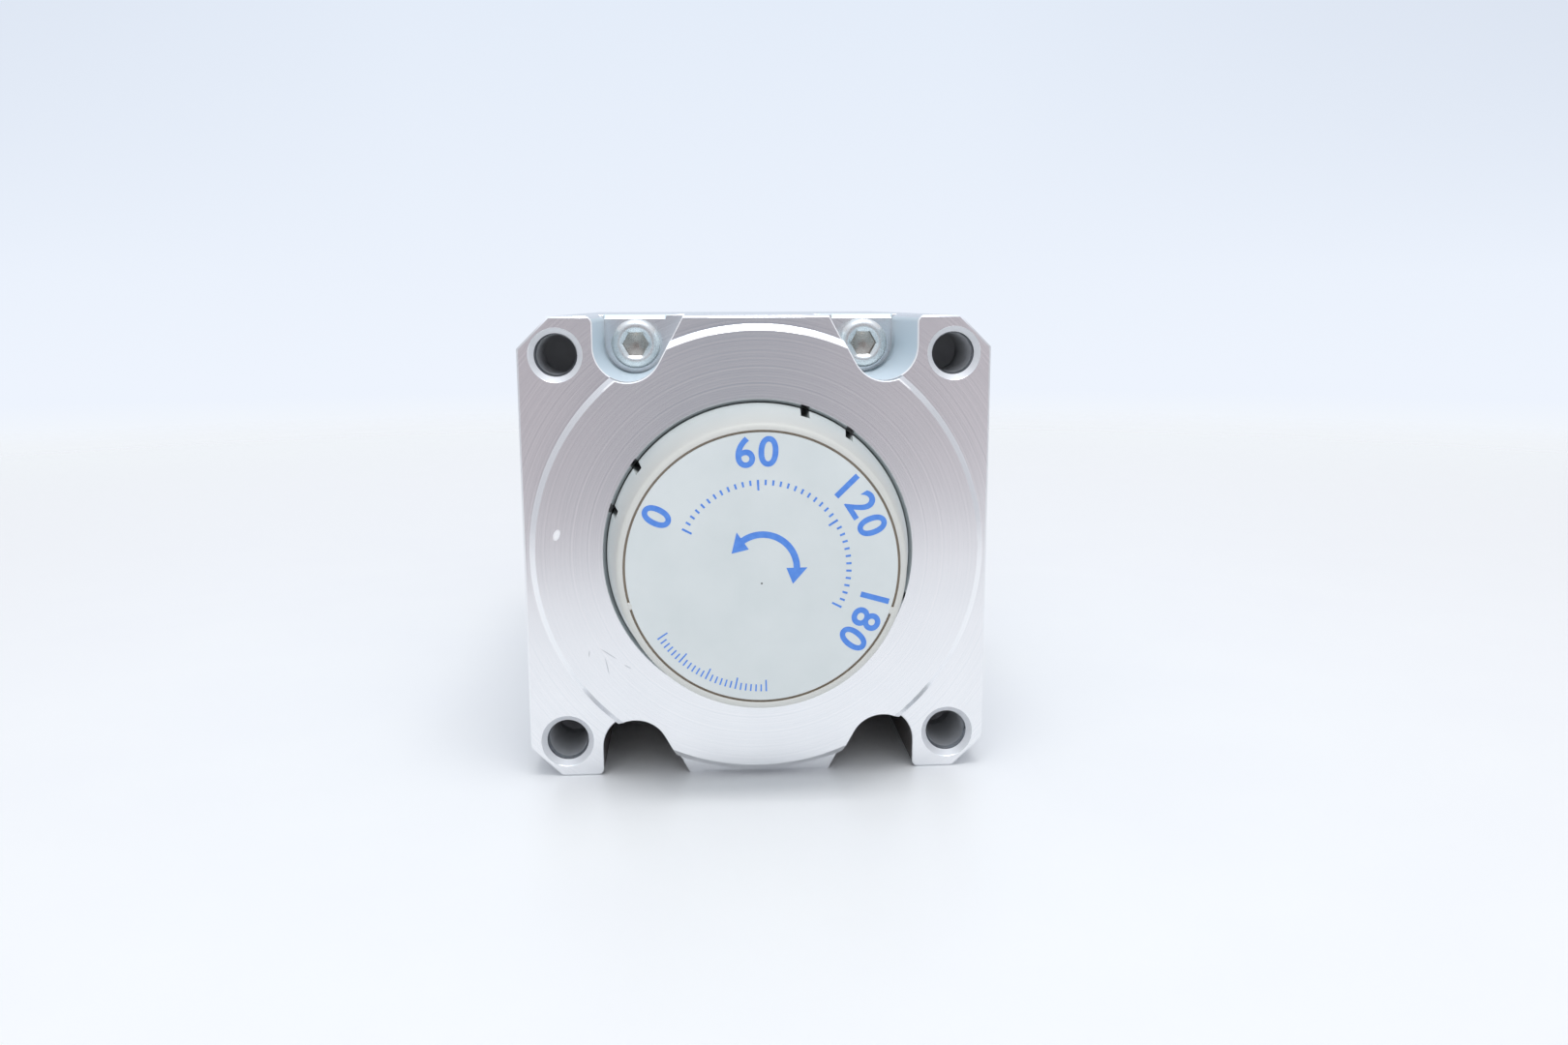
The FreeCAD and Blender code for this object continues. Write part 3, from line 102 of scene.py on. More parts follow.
# Screws: thread radius, head radius, head height, key width
SCREWS = {
    "M3": (1.5, 2.75, 3.0, 2.5),
    "M4": (2.0, 3.5, 4.0, 3.0),
    "M5": (2.5, 4.25, 5.0, 4.0),
}


def corners_of(node, kind):
    """Axes (x, z) of four screws from the box around their heads."""
    high = span(node)[1]
    head_r = SCREWS[kind][1]
    x, z = high.x - head_r, high.z - head_r
    return [(x, z), (-x, z), (x, -z), (-x, -z)]


# Marks on the housing: from where to where along Y they reach, and their other sizes
# Upper notches' walls: a painted reflection of the bright overhead, in a dull bluish white
UPPER_WALL_DEPTHS = (0.4, NOTCH_DEPTH - 0.15)
# Lower notches: painted shade
LOW_SHADE_DEPTHS = (0.4, NOTCH_DEPTH + 0.3)
SEAT_EDGE_DEPTHS = (NOTCH_DEPTH + 0.04, NOTCH_DEPTH + 0.9)
FLANGE_RIM_DEPTHS = (-0.15, 0.45)
BOSS_RIM_DEPTHS = (BOSS_FACE - 0.5, BOSS_FACE + 0.3)
SINK_DEPTHS = (0.04, CORNER_START)
OIL_DEPTHS = (2.0, 20.5)
# Bore round the cap: painted shade
BORE_SHADE_DEPTHS = (BOSS_FACE + 0.05, BOSS_FACE + 6.0)
FACE_DEPTHS = (BOSS_FACE - 2.0, BOSS_FACE + 2.0)
WALL_ENDS = (HOUSING_TOP - 0.2, HOUSING_TOP - 0.05)     # heights over which a notch's wall ends
SEAT_EDGE = (3 * NOTCH_R, 2.0)                          # width and height
RIM_R = NOTCH_R + 0.9
SINK_R = CORNER_R + CORNER_START + 0.1
OIL_R = CORNER_R + 0.5

# Handling marks on the face: middle (x, z), length and width, angle
SCUFF = ((-31.85, 3.5), (2.0, 1.1), 70)
SCRATCHES = (
    ((-24.2, -16.0), (3.4, 0.2), -34),
    ((-21.2, -18.2), (1.5, 0.2), -30),
    ((-24.5, -18.0), (3.2, 0.2), -78),
    ((-27.3, -15.9), (1.2, 0.2), 85),
)

# Marks on the cap and its disc
RIM_TINT_WIDTH = 1.8           # band outside the cap's tip over which the rim's tint and painted light fade
GROOVE_R = CAP_TIP_R - CAP_RIM + 0.03
GROOVE_DEPTHS = (DISC_FACE + 0.1, DISC_BACK + 0.1)
SPECK_AT = (-0.13, -2.3)
SPECK_R = 0.175
SPECK_DEPTHS = (DISC_FACE - 1.0, DISC_FACE + 1.0)

# Printed dial
INK = 0.02                     # thickness of the print
SCALE_START = 152.6            # angle of the zero
SCALE_SWEEP = 180
SCALE_R = 17.5                 # radius of the numbers' middles
NUMBER_STEP = 60               # degrees from one number to the next, and from one mark to the next
TICK_STEP = 5
DIGIT = 6.2
DIGIT_STEP = 11.6              # degrees from one digit to the next
DIGIT_GROWTH = DIGIT / 48      # how far a digit's outline is grown
TICK_OUTER = 13.5
TICK_INNER = 12.7
LONG_TICK_INNER = 11.9
TICK_WIDTH = 0.3
FINE_TICKS = 25
FINE_GROUP = 6                 # every sixth mark of the fine scale is long
FINE_STEP = 2.4                # degrees from one mark of the fine scale to the next
FINE_OUTER = 19.2
FINE_INNER = 18.1
LONG_FINE_INNER = 17.4
FINE_WIDTH = 0.22
ARROW_R = 5.2
ARROW_WIDTH = 1.0
ARROW_HALF = 62                # degrees from the arrow's middle to each head
ARROW_HEAD = 2.6               # length of a head, and half its width
ARROW_WING = 1.6
ARROW_STEPS = 24

# Stage
FLOOR_Z = body_low.z
FLOOR_EDGE = -196.0            # the table's near edge, which parts bright from grey in the flange's mirror
FLOOR_SLANT = 0.5              # how much farther away that edge is towards the left
FLOOR_HALF = 800.0
WHITER_START = 90.0            # distances over which the table is painted whiter, as painted light
WHITER_END = 400.0
FADE_START = 180.0             # distances over which the table fades into the backdrop
FADE_END = 750.0
CAMERA_AT = (-9.47, -201.86, 39.25)
CAMERA_TURN = (80.25, 0.1825, -3.921)
CAMERA_LENS = 29.18
CAMERA_SENSOR = 36.0
CAMERA_NEAREST = 10.0


# Helpers for shapes

def near(a, b):
    return abs(a - b) < SAME


def shift(x, y, z):
    return Matrix.Translation(Vector((x, y, z)) * MM)


def turn(degrees, axis):
    return Matrix.Rotation(math.radians(degrees), 4, axis)


def polar(radius, degrees):
    """Point (x, z) at a radius and an angle around the axis."""
    return radius * math.cos(math.radians(degrees)), radius * math.sin(math.radians(degrees))


def spun(profile):
    """A solid turned about Y from (radius, y) points that start and end on the axis or close a ring."""
    mesh = bmesh.new()
    verts = [mesh.verts.new((radius * MM, y * MM, 0)) for radius, y in profile]
    edges = [mesh.edges.new(pair) for pair in zip(verts, verts[1:])]
    if profile[0][0] > 0:
        edges.append(mesh.edges.new((verts[-1], verts[0])))
    bmesh.ops.spin(mesh, geom=verts + edges, cent=(0, 0, 0), axis=(0, 1, 0), angle=2 * math.pi,
                   steps=SPIN_STEPS, use_merge=True)
    bmesh.ops.remove_doubles(mesh, verts=mesh.verts, dist=MERGE)
    bmesh.ops.recalc_face_normals(mesh, faces=mesh.faces)
    return mesh


def thread(radius, depth, pitch, length):
    """A helical ridge about Y from y = 0, standing out of a bar, or into a hole where depth is negative."""
    mesh = bmesh.new()
    flank = THREAD_FLANK * pitch
    corners = [(radius, 0), (radius + depth, flank), (radius, 2 * flank)]
    verts = [mesh.verts.new((r * MM, y * MM, 0)) for r, y in corners]
    edges = [mesh.edges.new((verts[k], verts[k - 1])) for k in range(3)]
    turns = int(length / pitch - 1)
    bmesh.ops.spin(mesh, geom=verts + edges, cent=(0, 0, 0), axis=(0, 1, 0), angle=2 * math.pi * turns,
                   dvec=(0, pitch * MM / THREAD_STEPS, 0), steps=THREAD_STEPS * turns)
    bmesh.ops.remove_doubles(mesh, verts=mesh.verts, dist=MERGE)
    bmesh.ops.holes_fill(mesh, edges=[edge for edge in mesh.edges if edge.is_boundary], sides=3)
    bmesh.ops.recalc_face_normals(mesh, faces=mesh.faces)
    return mesh


def place_of(vert):
    """Radius about Y and height along Y of a point."""
    return math.hypot(vert.co.x, vert.co.z) / MM, vert.co.y / MM


def hex_reach(vert):
    """How much farther out than its flats a hexagon reaches in a point's direction. It has a corner at every
    60 degrees from 0."""
    return 1 / math.cos(math.atan2(vert.co.z, vert.co.x) % (math.pi / 3) - math.pi / 6)


def stretch(vert, factor):
    """Moves a point away from Y by a factor."""
    vert.co.x *= factor
    vert.co.z *= factor


def round_ring(mesh, radius, y, width, segments):
    """Bevels the ring of edges at a radius and a height."""
    def on_ring(vert):
        at_r, at_y = place_of(vert)
        return near(at_r, radius) and near(at_y, y)
    picked = [edge for edge in mesh.edges if all(on_ring(vert) for vert in edge.verts)]
    bmesh.ops.bevel(mesh, geom=picked, offset=width * MM, offset_type="OFFSET", segments=segments,
                    profile=0.5, affect="EDGES", material=-1)


def socket_screw(thread_r, head_r, head_h, key, length):
    """A socket head screw with its seat at y = 0, its head towards -Y and its tip towards +Y. Its smaller
    sizes are shares of these."""
    flat = key / 2
    mouth_r = 1.36 * flat
    mouth_end = 0.09 * head_h - head_h
    socket_end = -0.45 * head_h
    drill_r = 0.8 * flat                 # the cone that a drill leaves under the socket
    drill_start = socket_end + 0.1 * flat
    drill_end = socket_end + 0.5 * flat
    tip_break = 0.25 * thread_r
    head_round = 0.23 * head_h
    mouth_round = 0.05 * head_h
    seat_break = 0.04 * head_h
    mesh = spun([
        (0, drill_end), (drill_r, drill_start), (flat, socket_end), (flat, mouth_end), (mouth_r, -head_h),
        (head_r, -head_h), (head_r, 0), (thread_r, 0), (thread_r, length - tip_break),
        (thread_r - tip_break, length), (0, length),
    ])
    for vert in mesh.verts:
        radius, y = place_of(vert)
        if near(radius, flat) and y < 0:
            stretch(vert, hex_reach(vert))
    round_ring(mesh, head_r, -head_h, head_round, segments=8)
    round_ring(mesh, mouth_r, -head_h, mouth_round, segments=4)
    round_ring(mesh, head_r, 0, seat_break, segments=1)
    return mesh


def hex_nut(across, height, hole_r):
    """A hexagon nut from y = 0 up, with its corners turned off at 30 degrees on both faces."""
    flat = across / 2
    face_r = 0.96 * flat
    edge = 0.3
    slope = math.tan(math.radians(30))
    mesh = spun([
        (hole_r, edge), (hole_r + edge, 0), (face_r, 0), (flat, edge), (flat, height - edge),
        (face_r, height), (hole_r + edge, height), (hole_r, height - edge),
    ])
    for vert in mesh.verts:
        radius, y = place_of(vert)
        if near(radius, flat):
            reach = hex_reach(vert)
            drop = (flat * reach - face_r) * slope
            vert.co.y = (drop if y < height / 2 else height - drop) * MM
            stretch(vert, reach)
    return mesh


def placed(mesh, matrix):
    """The mesh moved by a matrix."""
    bmesh.ops.transform(mesh, matrix=matrix, verts=mesh.verts)
    return mesh


def joined(meshes):
    """Several bmeshes as one."""
    whole = bmesh.new()
    for mesh in meshes:
        data = bpy.data.meshes.new("part")
        mesh.to_mesh(data)
        mesh.free()
        whole.from_mesh(data)
        bpy.data.meshes.remove(data)
    return whole


def piece(name, mesh, body, material, replaces=()):
    """A finished piece: a mesh object at the origin that rides on a body."""
    data = bpy.data.meshes.new(name)
    mesh.to_mesh(data)
    mesh.free()
    data.materials.append(material)
    for polygon in data.polygons:
        polygon.use_smooth = True
    data.set_sharp_from_angle(angle=math.radians(SHARP_EDGE))
    made = bpy.data.objects.new(name, data)
    bpy.context.scene.collection.objects.link(made)
    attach(made, body)
    if replaces:
        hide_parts(*replaces)
    return made


def finished(node, mesh):
    """A piece that stands for a CAD node, in its material."""
    return piece(node + "_finished", mesh, body_of[node], finishes[slot_of[node]], [node])


def dressed(node, width, across_only=False):
    """A CAD node with its outer edges broken as a machinist breaks them: all, or only those across the
    axis."""
    data = frame["nodes"][node].data.copy()
    # Normals kept from the plain solid would bend the light at the new edges
    stored = data.attributes.get("custom_normal")
    if stored:
        data.attributes.remove(stored)
    mesh = bmesh.new()
    mesh.from_mesh(data)
    bpy.data.meshes.remove(data)
    bmesh.ops.remove_doubles(mesh, verts=mesh.verts, dist=MERGE)
    bmesh.ops.dissolve_limit(mesh, angle_limit=math.radians(FLAT_EDGE), verts=mesh.verts, edges=mesh.edges)
    least = math.radians(OUTER_EDGE)
    outer = [edge for edge in mesh.edges if edge.is_convex and edge.calc_face_angle() > least]
    if across_only:
        outer = [edge for edge in outer if abs(edge.verts[0].co.y - edge.verts[1].co.y) < MERGE]
    bmesh.ops.bevel(mesh, geom=outer, offset=width * MM, offset_type="OFFSET", segments=BREAK_STEPS,
                    profile=0.5, affect="EDGES", clamp_overlap=False, material=-1)
    level = finished(node, mesh).modifiers.new("flat_faces", "WEIGHTED_NORMAL")
    level.keep_sharp = True


# Helpers for materials

GRAIN_RANGE = (0.2, 0.8)       # noise between these values takes up a material's range of roughness
TONE_RANGE = (0.3, 0.7)        # noise between these values takes up its range of colour
LINE_STRETCH = 60              # how many times longer than wide the tool lines on the sides are
CRISP = 0.01                   # share of a mark's reach over which a crisp edge fades


def linear(hex_color):
    """An sRGB hex colour as the linear RGBA that Blender's sockets take."""
    def channel(start):
        value = int(hex_color[start:start + 2], 16) / 255
        return value / 12.92 if value <= 0.04045 else ((value + 0.055) / 1.055) ** 2.4
    return channel(1), channel(3), channel(5), 1.0


def add(tree, kind, settings=None):
    """Adds a node and returns its outputs. A setting is a property, a socket's value, or an output that
    feeds it."""
    node = tree.nodes.new(kind)
    for key, value in (settings or {}).items():
        if isinstance(value, bpy.types.NodeSocket):
            tree.links.new(value, node.inputs[key])
        elif isinstance(key, str) and hasattr(node, key):
            setattr(node, key, value)
        else:
            node.inputs[key].default_value = value
    return node.outputs


def new_material(name):
    """An empty material, its node tree, and the coordinates that its patterns read."""
    material = bpy.data.materials.new(name)
    material.use_nodes = True
    tree = material.node_tree
    tree.nodes.clear()
    return material, tree, add(tree, "ShaderNodeTexCoord")["Object"]


def coat(tree, color, grain, rough, relief_mm, settings):
    """Ends a material: its colour, a grain that roughens it between two values and stands in relief, and the
    shader's own settings."""
    dull = add(tree, "ShaderNodeMapRange", {
        "Value": grain, "From Min": GRAIN_RANGE[0], "From Max": GRAIN_RANGE[1],
        "To Min": rough[0], "To Max": rough[1]})[0]
    bump = add(tree, "ShaderNodeBump", {"Strength": 1.0, "Distance": relief_mm * MM, "Height": grain})[0]
    shader = add(tree, "ShaderNodeBsdfPrincipled", {
        "Base Color": color, "Roughness": dull, "Normal": bump, **settings})[0]
    add(tree, "ShaderNodeOutputMaterial", {"Surface": shader})


def mottle(tree, place, size_mm, detail=3.0, stretched=(1, 1, 1)):
    """Cloudy noise from 0 to 1 with features of a size, stretched along each axis."""
    scale = [1 / (size_mm * MM * times) for times in stretched]
    scaled = add(tree, "ShaderNodeMapping", {"vector_type": "POINT", "Scale": scale, "Vector": place})[0]
    return add(tree, "ShaderNodeTexNoise", {"Scale": 1.0, "Detail": detail, "Vector": scaled})[0]


def radius_from_axis(tree, place):
    """Distance from the turning axis."""
    flat = add(tree, "ShaderNodeVectorMath", {"operation": "MULTIPLY", 0: place, 1: (1, 0, 1)})[0]
    return add(tree, "ShaderNodeVectorMath", {"operation": "LENGTH", 0: flat})["Value"]


def folded(tree, place, signs):
    """Coordinates folded onto one side, so that a mark made there shows on both: -1 folds an axis, 1 leaves
    it."""
    mirrored = add(tree, "ShaderNodeVectorMath", {"operation": "MULTIPLY", 0: place, 1: signs})[0]
    return add(tree, "ShaderNodeVectorMath", {"operation": "MAXIMUM", 0: place, 1: mirrored})[0]


def facing_axis(tree, limits=(0.55, 0.65)):
    """1 where the surface looks along the turning axis, as faces and chamfers do, and 0 where it looks
    sideways. The limits say how squarely it looks along the axis at 0 and at 1, so with the higher one first
    this is 1 where the surface slants away."""
    normal = add(tree, "ShaderNodeTexCoord")["Normal"]
    along = add(tree, "ShaderNodeSeparateXYZ", {0: normal})["Y"]
    size = add(tree, "ShaderNodeMath", {"operation": "ABSOLUTE", 0: along})[0]
    return add(tree, "ShaderNodeMapRange", {
        "Value": size, "From Min": limits[0], "From Max": limits[1]})[0]


def machined_marks(tree, place, across, ring_mm, line_mm):
    """Tool marks from 0 to 1: rings on faces across the axis, lines along the axis on the sides."""
    radius = radius_from_axis(tree, place)
    rings = add(tree, "ShaderNodeTexNoise", {
        "noise_dimensions": "1D", "Scale": 1 / (ring_mm * MM), "Detail": 2.0, "W": radius})[0]
    lines = mottle(tree, place, line_mm, detail=2.0, stretched=(1, LINE_STRETCH, 1))
    return add(tree, "ShaderNodeMix", {"data_type": "FLOAT", 0: across, 2: lines, 3: rings})[0]


def blot(tree, place, middle, size, depths, degrees=0, edge=0.3):
    """1 within an ellipse seen along the axis and between two depths, 0 outside it, with a soft edge."""
    local = add(tree, "ShaderNodeMapping", {
        "vector_type": "TEXTURE", "Location": Vector((middle[0], sum(depths) / 2, middle[1])) * MM,
        "Rotation": (0, -math.radians(degrees), 0),
        "Scale": Vector((size[0], depths[1] - depths[0], size[1])) * MM / 2, "Vector": place})[0]
    along = add(tree, "ShaderNodeSeparateXYZ", {0: local})["Y"]
    deep = add(tree, "ShaderNodeMath", {"operation": "ABSOLUTE", 0: along})[0]
    wide = radius_from_axis(tree, local)
    reach = add(tree, "ShaderNodeMath", {"operation": "MAXIMUM", 0: deep, 1: wide})[0]
    return add(tree, "ShaderNodeMapRange", {
        "Value": reach, "From Min": 1 - edge, "From Max": 1.0, "To Min": 1.0, "To Max": 0.0})[0]


def spot(tree, place, middle, radius, depths, edge):
    """A round blot."""
    return blot(tree, place, middle, (2 * radius, 2 * radius), depths, edge=edge)


def toned(tree, tone, low, high):
    """A colour that drifts between two hex colours with a cloudy tone, pulled apart so that both show."""
    drift = add(tree, "ShaderNodeMapRange", {
        "Value": tone, "From Min": TONE_RANGE[0], "From Max": TONE_RANGE[1]})[0]
    return add(tree, "ShaderNodeMix", {"data_type": "RGBA", 0: drift, 6: linear(low), 7: linear(high)})[2]


def layered(tree, color, layers):
    """A colour with others laid over it, each where its mask is 1."""
    for mask, over in layers:
        color = add(tree, "ShaderNodeMix", {"data_type": "RGBA", 0: mask, 6: color, 7: linear(over)})[2]
    return color


# Materials

def notch_masks(tree, place, across):
    """Where the upper notches' walls get a painted reflection of the bright overhead, where their rims and
    the tops of their seat edges get painted highlights, and where the lower notches get painted shade."""
    height = add(tree, "ShaderNodeSeparateXYZ", {0: place})["Z"]
    level = add(tree, "ShaderNodeMath", {"operation": "ABSOLUTE", 0: height})[0]
    within = add(tree, "ShaderNodeMapRange", {
        "Value": level, "From Min": WALL_ENDS[0] * MM, "From Max": WALL_ENDS[1] * MM,
        "To Min": 1.0, "To Max": 0.0})[0]
    walls = add(tree, "ShaderNodeMath", {
        "operation": "SUBTRACT", "use_clamp": True, 0: within, 1: across})[0]
    aslant = facing_axis(tree, limits=(0.98, 0.9))
    two_ways = folded(tree, place, (-1, 1, 1))
    upper = spot(tree, two_ways, (NOTCH_X, NOTCH_Z), NOTCH_R, UPPER_WALL_DEPTHS, CRISP)
    # Lower notches, painted dark as painted shade
    lower = spot(tree, two_ways, (NOTCH_X, -NOTCH_Z), NOTCH_R, LOW_SHADE_DEPTHS, CRISP)
    # Rims round the upper notches, painted near white as a painted highlight along their edges
    on_flange, on_boss = [
        spot(tree, two_ways, (NOTCH_X, NOTCH_Z), RIM_R, depths, edge=0.08)
        for depths in (FLANGE_RIM_DEPTHS, BOSS_RIM_DEPTHS)]
    mouth = add(tree, "ShaderNodeMath", {"operation": "MAXIMUM", 0: on_flange, 1: on_boss})[0]
    # Upper walls get a painted reflection, rims a painted highlight, lower notches painted shade
    upper_wall_sheen, rim_highlight, low_notch_shade = [
        add(tree, "ShaderNodeMath", {"operation": "MULTIPLY", 0: area, 1: part})[0]
        for area, part in ((upper, walls), (mouth, aslant), (lower, within))]
    # Tops of the upper seats' edges, painted bluish white as a painted highlight
    seat_highlight = blot(tree, two_ways, (NOTCH_X, HOUSING_TOP), SEAT_EDGE, SEAT_EDGE_DEPTHS, edge=CRISP)
    return upper_wall_sheen, rim_highlight, seat_highlight, low_notch_shade


def clear_anodised_aluminium():
    """Clear anodised aluminium, turned on its face and milled on its sides: a satin grey mirror that takes
    the table's white below and the room's grey above, with fine tool rings on the face and lines along the
    greyer sides. The upper notches' walls are painted a dull bluish white, a painted reflection of the bright
    overhead, and their rims and seat edges carry painted highlights. The lower notches are painted dark as
    painted shade, and the bore round the cap is painted grey as shade from the cap. The tapped holes'
    countersinks are painted a dull pale grey as a painted highlight, the holes hold old cutting oil, and the
    face has a few handling marks."""
    material, tree, place = new_material("clear_anodised_aluminium")
    across = facing_axis(tree)
    # The real feed marks are 0.1 to 0.2 mm apart. They are drawn coarser so that they show.
    marks = machined_marks(tree, place, across, ring_mm=0.3, line_mm=0.6)
    cloud = mottle(tree, place, size_mm=9.0)
    tone = add(tree, "ShaderNodeMix", {"data_type": "FLOAT", 0: 0.25, 2: marks, 3: cloud})[0]
    sides = toned(tree, tone, "#C9CDD2", "#D8DBDF")
    face = toned(tree, tone, "#F1F3F5", "#FDFDFE")
    plain = add(tree, "ShaderNodeMix", {"data_type": "RGBA", 0: across, 6: sides, 7: face})[2]

    upper_wall_sheen, rim_highlight, seat_highlight, low_notch_shade = notch_masks(tree, place, across)
    four_ways = folded(tree, place, (-1, 1, -1))
    # Countersinks, painted a dull pale grey as a painted highlight for the light they catch
    sunk = spot(tree, four_ways, (CORNER_X, CORNER_Z), SINK_R, SINK_DEPTHS, CRISP)
    hole_tint = spot(tree, four_ways, (CORNER_X, CORNER_Z), OIL_R, OIL_DEPTHS, edge=0.1)
    # The bore round the cap, painted grey as shade from the cap
    dark_ring = spot(tree, place, (0, 0), CAP_BORE_R + CAP_MOUTH, BORE_SHADE_DEPTHS, CRISP)
    scuff, *scratches = [
        blot(tree, place, middle, size, FACE_DEPTHS, degrees)
        for middle, size, degrees in (SCUFF, *SCRATCHES)]
    # Pale walls, seat edges and rims are painted light, the dark lower notches and grey bore painted shade,
    # the pale countersinks a painted highlight
    skin = layered(tree, plain, [
        (upper_wall_sheen, "#D6E2E9"), (seat_highlight, "#DCE8EC"), (low_notch_shade, "#706C6B"), (sunk, "#E2E4E7"),
        (hole_tint, "#B8BABD"), (dark_ring, "#C0C4C6"), (scuff, "#FBFBFC"), (rim_highlight, "#FBFBFC"),
        *[(scratch, "#D0D2D5") for scratch in scratches]])

    dull = scuff
    for mask in (upper_wall_sheen, rim_highlight, seat_highlight, low_notch_shade, sunk, hole_tint):
        dull = add(tree, "ShaderNodeMath", {"operation": "MAXIMUM", 0: dull, 1: mask})[0]
    metal, smoothest, roughest = [
        add(tree, "ShaderNodeMapRange", {"Value": dull, "To Min": clean, "To Max": worn})[0]
        for clean, worn in ((1.0, 0.35), (0.23, 0.55), (0.27, 0.55))]
    coat(tree, skin, marks, rough=(smoothest, roughest), relief_mm=0.0004, settings={"Metallic": metal})
    return material


def machined_alloy():
    """Bare machined aluminium alloy: brighter than the anodised housing and with plainer cutter marks."""
    material, tree, place = new_material("machined_alloy")
    marks = machined_marks(tree, place, facing_axis(tree), ring_mm=0.5, line_mm=0.7)
    skin = toned(tree, mottle(tree, place, size_mm=6.0), "#D4D7DB", "#E2E4E7")
    coat(tree, skin, marks, rough=(0.22, 0.38), relief_mm=0.004, settings={"Metallic": 1.0})
    return material


def zinc_plate():
    """Zinc plated steel: bright, soft and slightly warm, with a cloudy passivation film. The sockets of the
    housing screws are painted a darker brown-grey as painted shade."""
    material, tree, place = new_material("zinc_plate")
    head_h, key = SCREWS["M5"][2:]
    socket_r = 0.7 * key
    tint_below = 0.6                      # from the head's top down to where the painted shade starts
    depths = (NOTCH_DEPTH - head_h + tint_below, NOTCH_DEPTH)
    four_ways = folded(tree, place, (-1, 1, -1))
    # Sockets of the housing screws, painted a darker brown-grey as painted shade
    hole_tint = spot(tree, four_ways, corners_of("housing_screws", "M5")[0], socket_r, depths, edge=0.12)
    plate = toned(tree, mottle(tree, place, size_mm=2.2, detail=4.0), "#E0E1DF", "#EFEFEC")
    skin = layered(tree, plate, [(hole_tint, "#BBB4AB")])
    grain = mottle(tree, place, size_mm=0.3)
    coat(tree, skin, grain, rough=(0.24, 0.34), relief_mm=0.001, settings={"Metallic": 0.9})
    return material


def moulded_abs():
    """Pale grey ABS with a fine spark-eroded texture: matt, with a paler, warmer band at the rim that is
    partly a yellowed tint and partly painted light, and with brown dust held in the groove round the disc."""
    material, tree, place = new_material("moulded_abs")
    radius = radius_from_axis(tree, place)
    # A paler, warmer band round the rim: partly a yellowed tint, partly painted light that lifts its shaded
    # lower side
    yellowed_and_lit = add(tree, "ShaderNodeMapRange", {
        "Value": radius, "From Min": CAP_TIP_R * MM, "From Max": (CAP_TIP_R + RIM_TINT_WIDTH) * MM,
        "To Min": 1.0, "To Max": 0.0})[0]
    dark_ring = spot(tree, place, (0, 0), GROOVE_R, GROOVE_DEPTHS, edge=0.001)
    resin = toned(tree, mottle(tree, place, size_mm=7.0), "#C6CECE", "#CFD5D4")
    skin = layered(tree, resin, [(yellowed_and_lit, "#D1D2CD"), (dark_ring, "#B7A998")])
    grain = mottle(tree, place, size_mm=0.25)
    coat(tree, skin, grain, rough=(0.42, 0.55), relief_mm=0.006, settings={"IOR": 1.54})
    return material


def printed_sheet():
    """Plastic sheet for the dial: smooth, pale grey-green, with a faint orange-peel gloss and a speck of
    dirt."""
    material, tree, place = new_material("printed_sheet")
    speck = spot(tree, place, SPECK_AT, SPECK_R, SPECK_DEPTHS, edge=0.3)
    sheet = toned(tree, mottle(tree, place, size_mm=8.0), "#D3DADA", "#D9DFDF")
    skin = layered(tree, sheet, [(speck, "#555A58")])
    grain = mottle(tree, place, size_mm=0.8)
    coat(tree, skin, grain, rough=(0.28, 0.4), relief_mm=0.002, settings={"IOR": 1.5})
    return material


def plain_finish(name, tones, tone_mm, grain_mm, rough, relief_mm, settings, stretched=(1, 1, 1)):
    """A material with a slow drift of tone and one fine grain."""
    material, tree, place = new_material(name)
    color = toned(tree, mottle(tree, place, tone_mm), *tones)
    grain = mottle(tree, place, grain_mm, 4.0, stretched)
    coat(tree, color, grain, rough, relief_mm, settings)
    return material


def white_table():
    """Matt white laminate: the stage's floor, painted whiter away from the object as painted light, which
    fades out all round as in a shallow focus.
    """
    material, tree, place = new_material("white_table")
    flat = add(tree, "ShaderNodeVectorMath", {"operation": "MULTIPLY", 0: place, 1: (1, 1, 0)})[0]
    distance = add(tree, "ShaderNodeVectorMath", {"operation": "LENGTH", 0: flat})["Value"]
    # The table is painted whiter away from the object: painted light
    away, fade = [
        add(tree, "ShaderNodeMapRange", {"Value": distance, "From Min": start * MM, "From Max": end * MM})[0]
        for start, end in ((WHITER_START, WHITER_END), (FADE_START, FADE_END))]
    laminate = toned(tree, mottle(tree, place, size_mm=30.0), "#F7F9FB", "#F9FBFC")
    shader = add(tree, "ShaderNodeBsdfPrincipled", {
        "Base Color": layered(tree, laminate, [(away, "#FDFDFE")]), "Roughness": 0.35, "IOR": 1.45})[0]
    clear = add(tree, "ShaderNodeBsdfTransparent")[0]
    both = add(tree, "ShaderNodeMixShader", {0: fade, 1: shader, 2: clear})[0]
    add(tree, "ShaderNodeOutputMaterial", {"Surface": both})
    return material


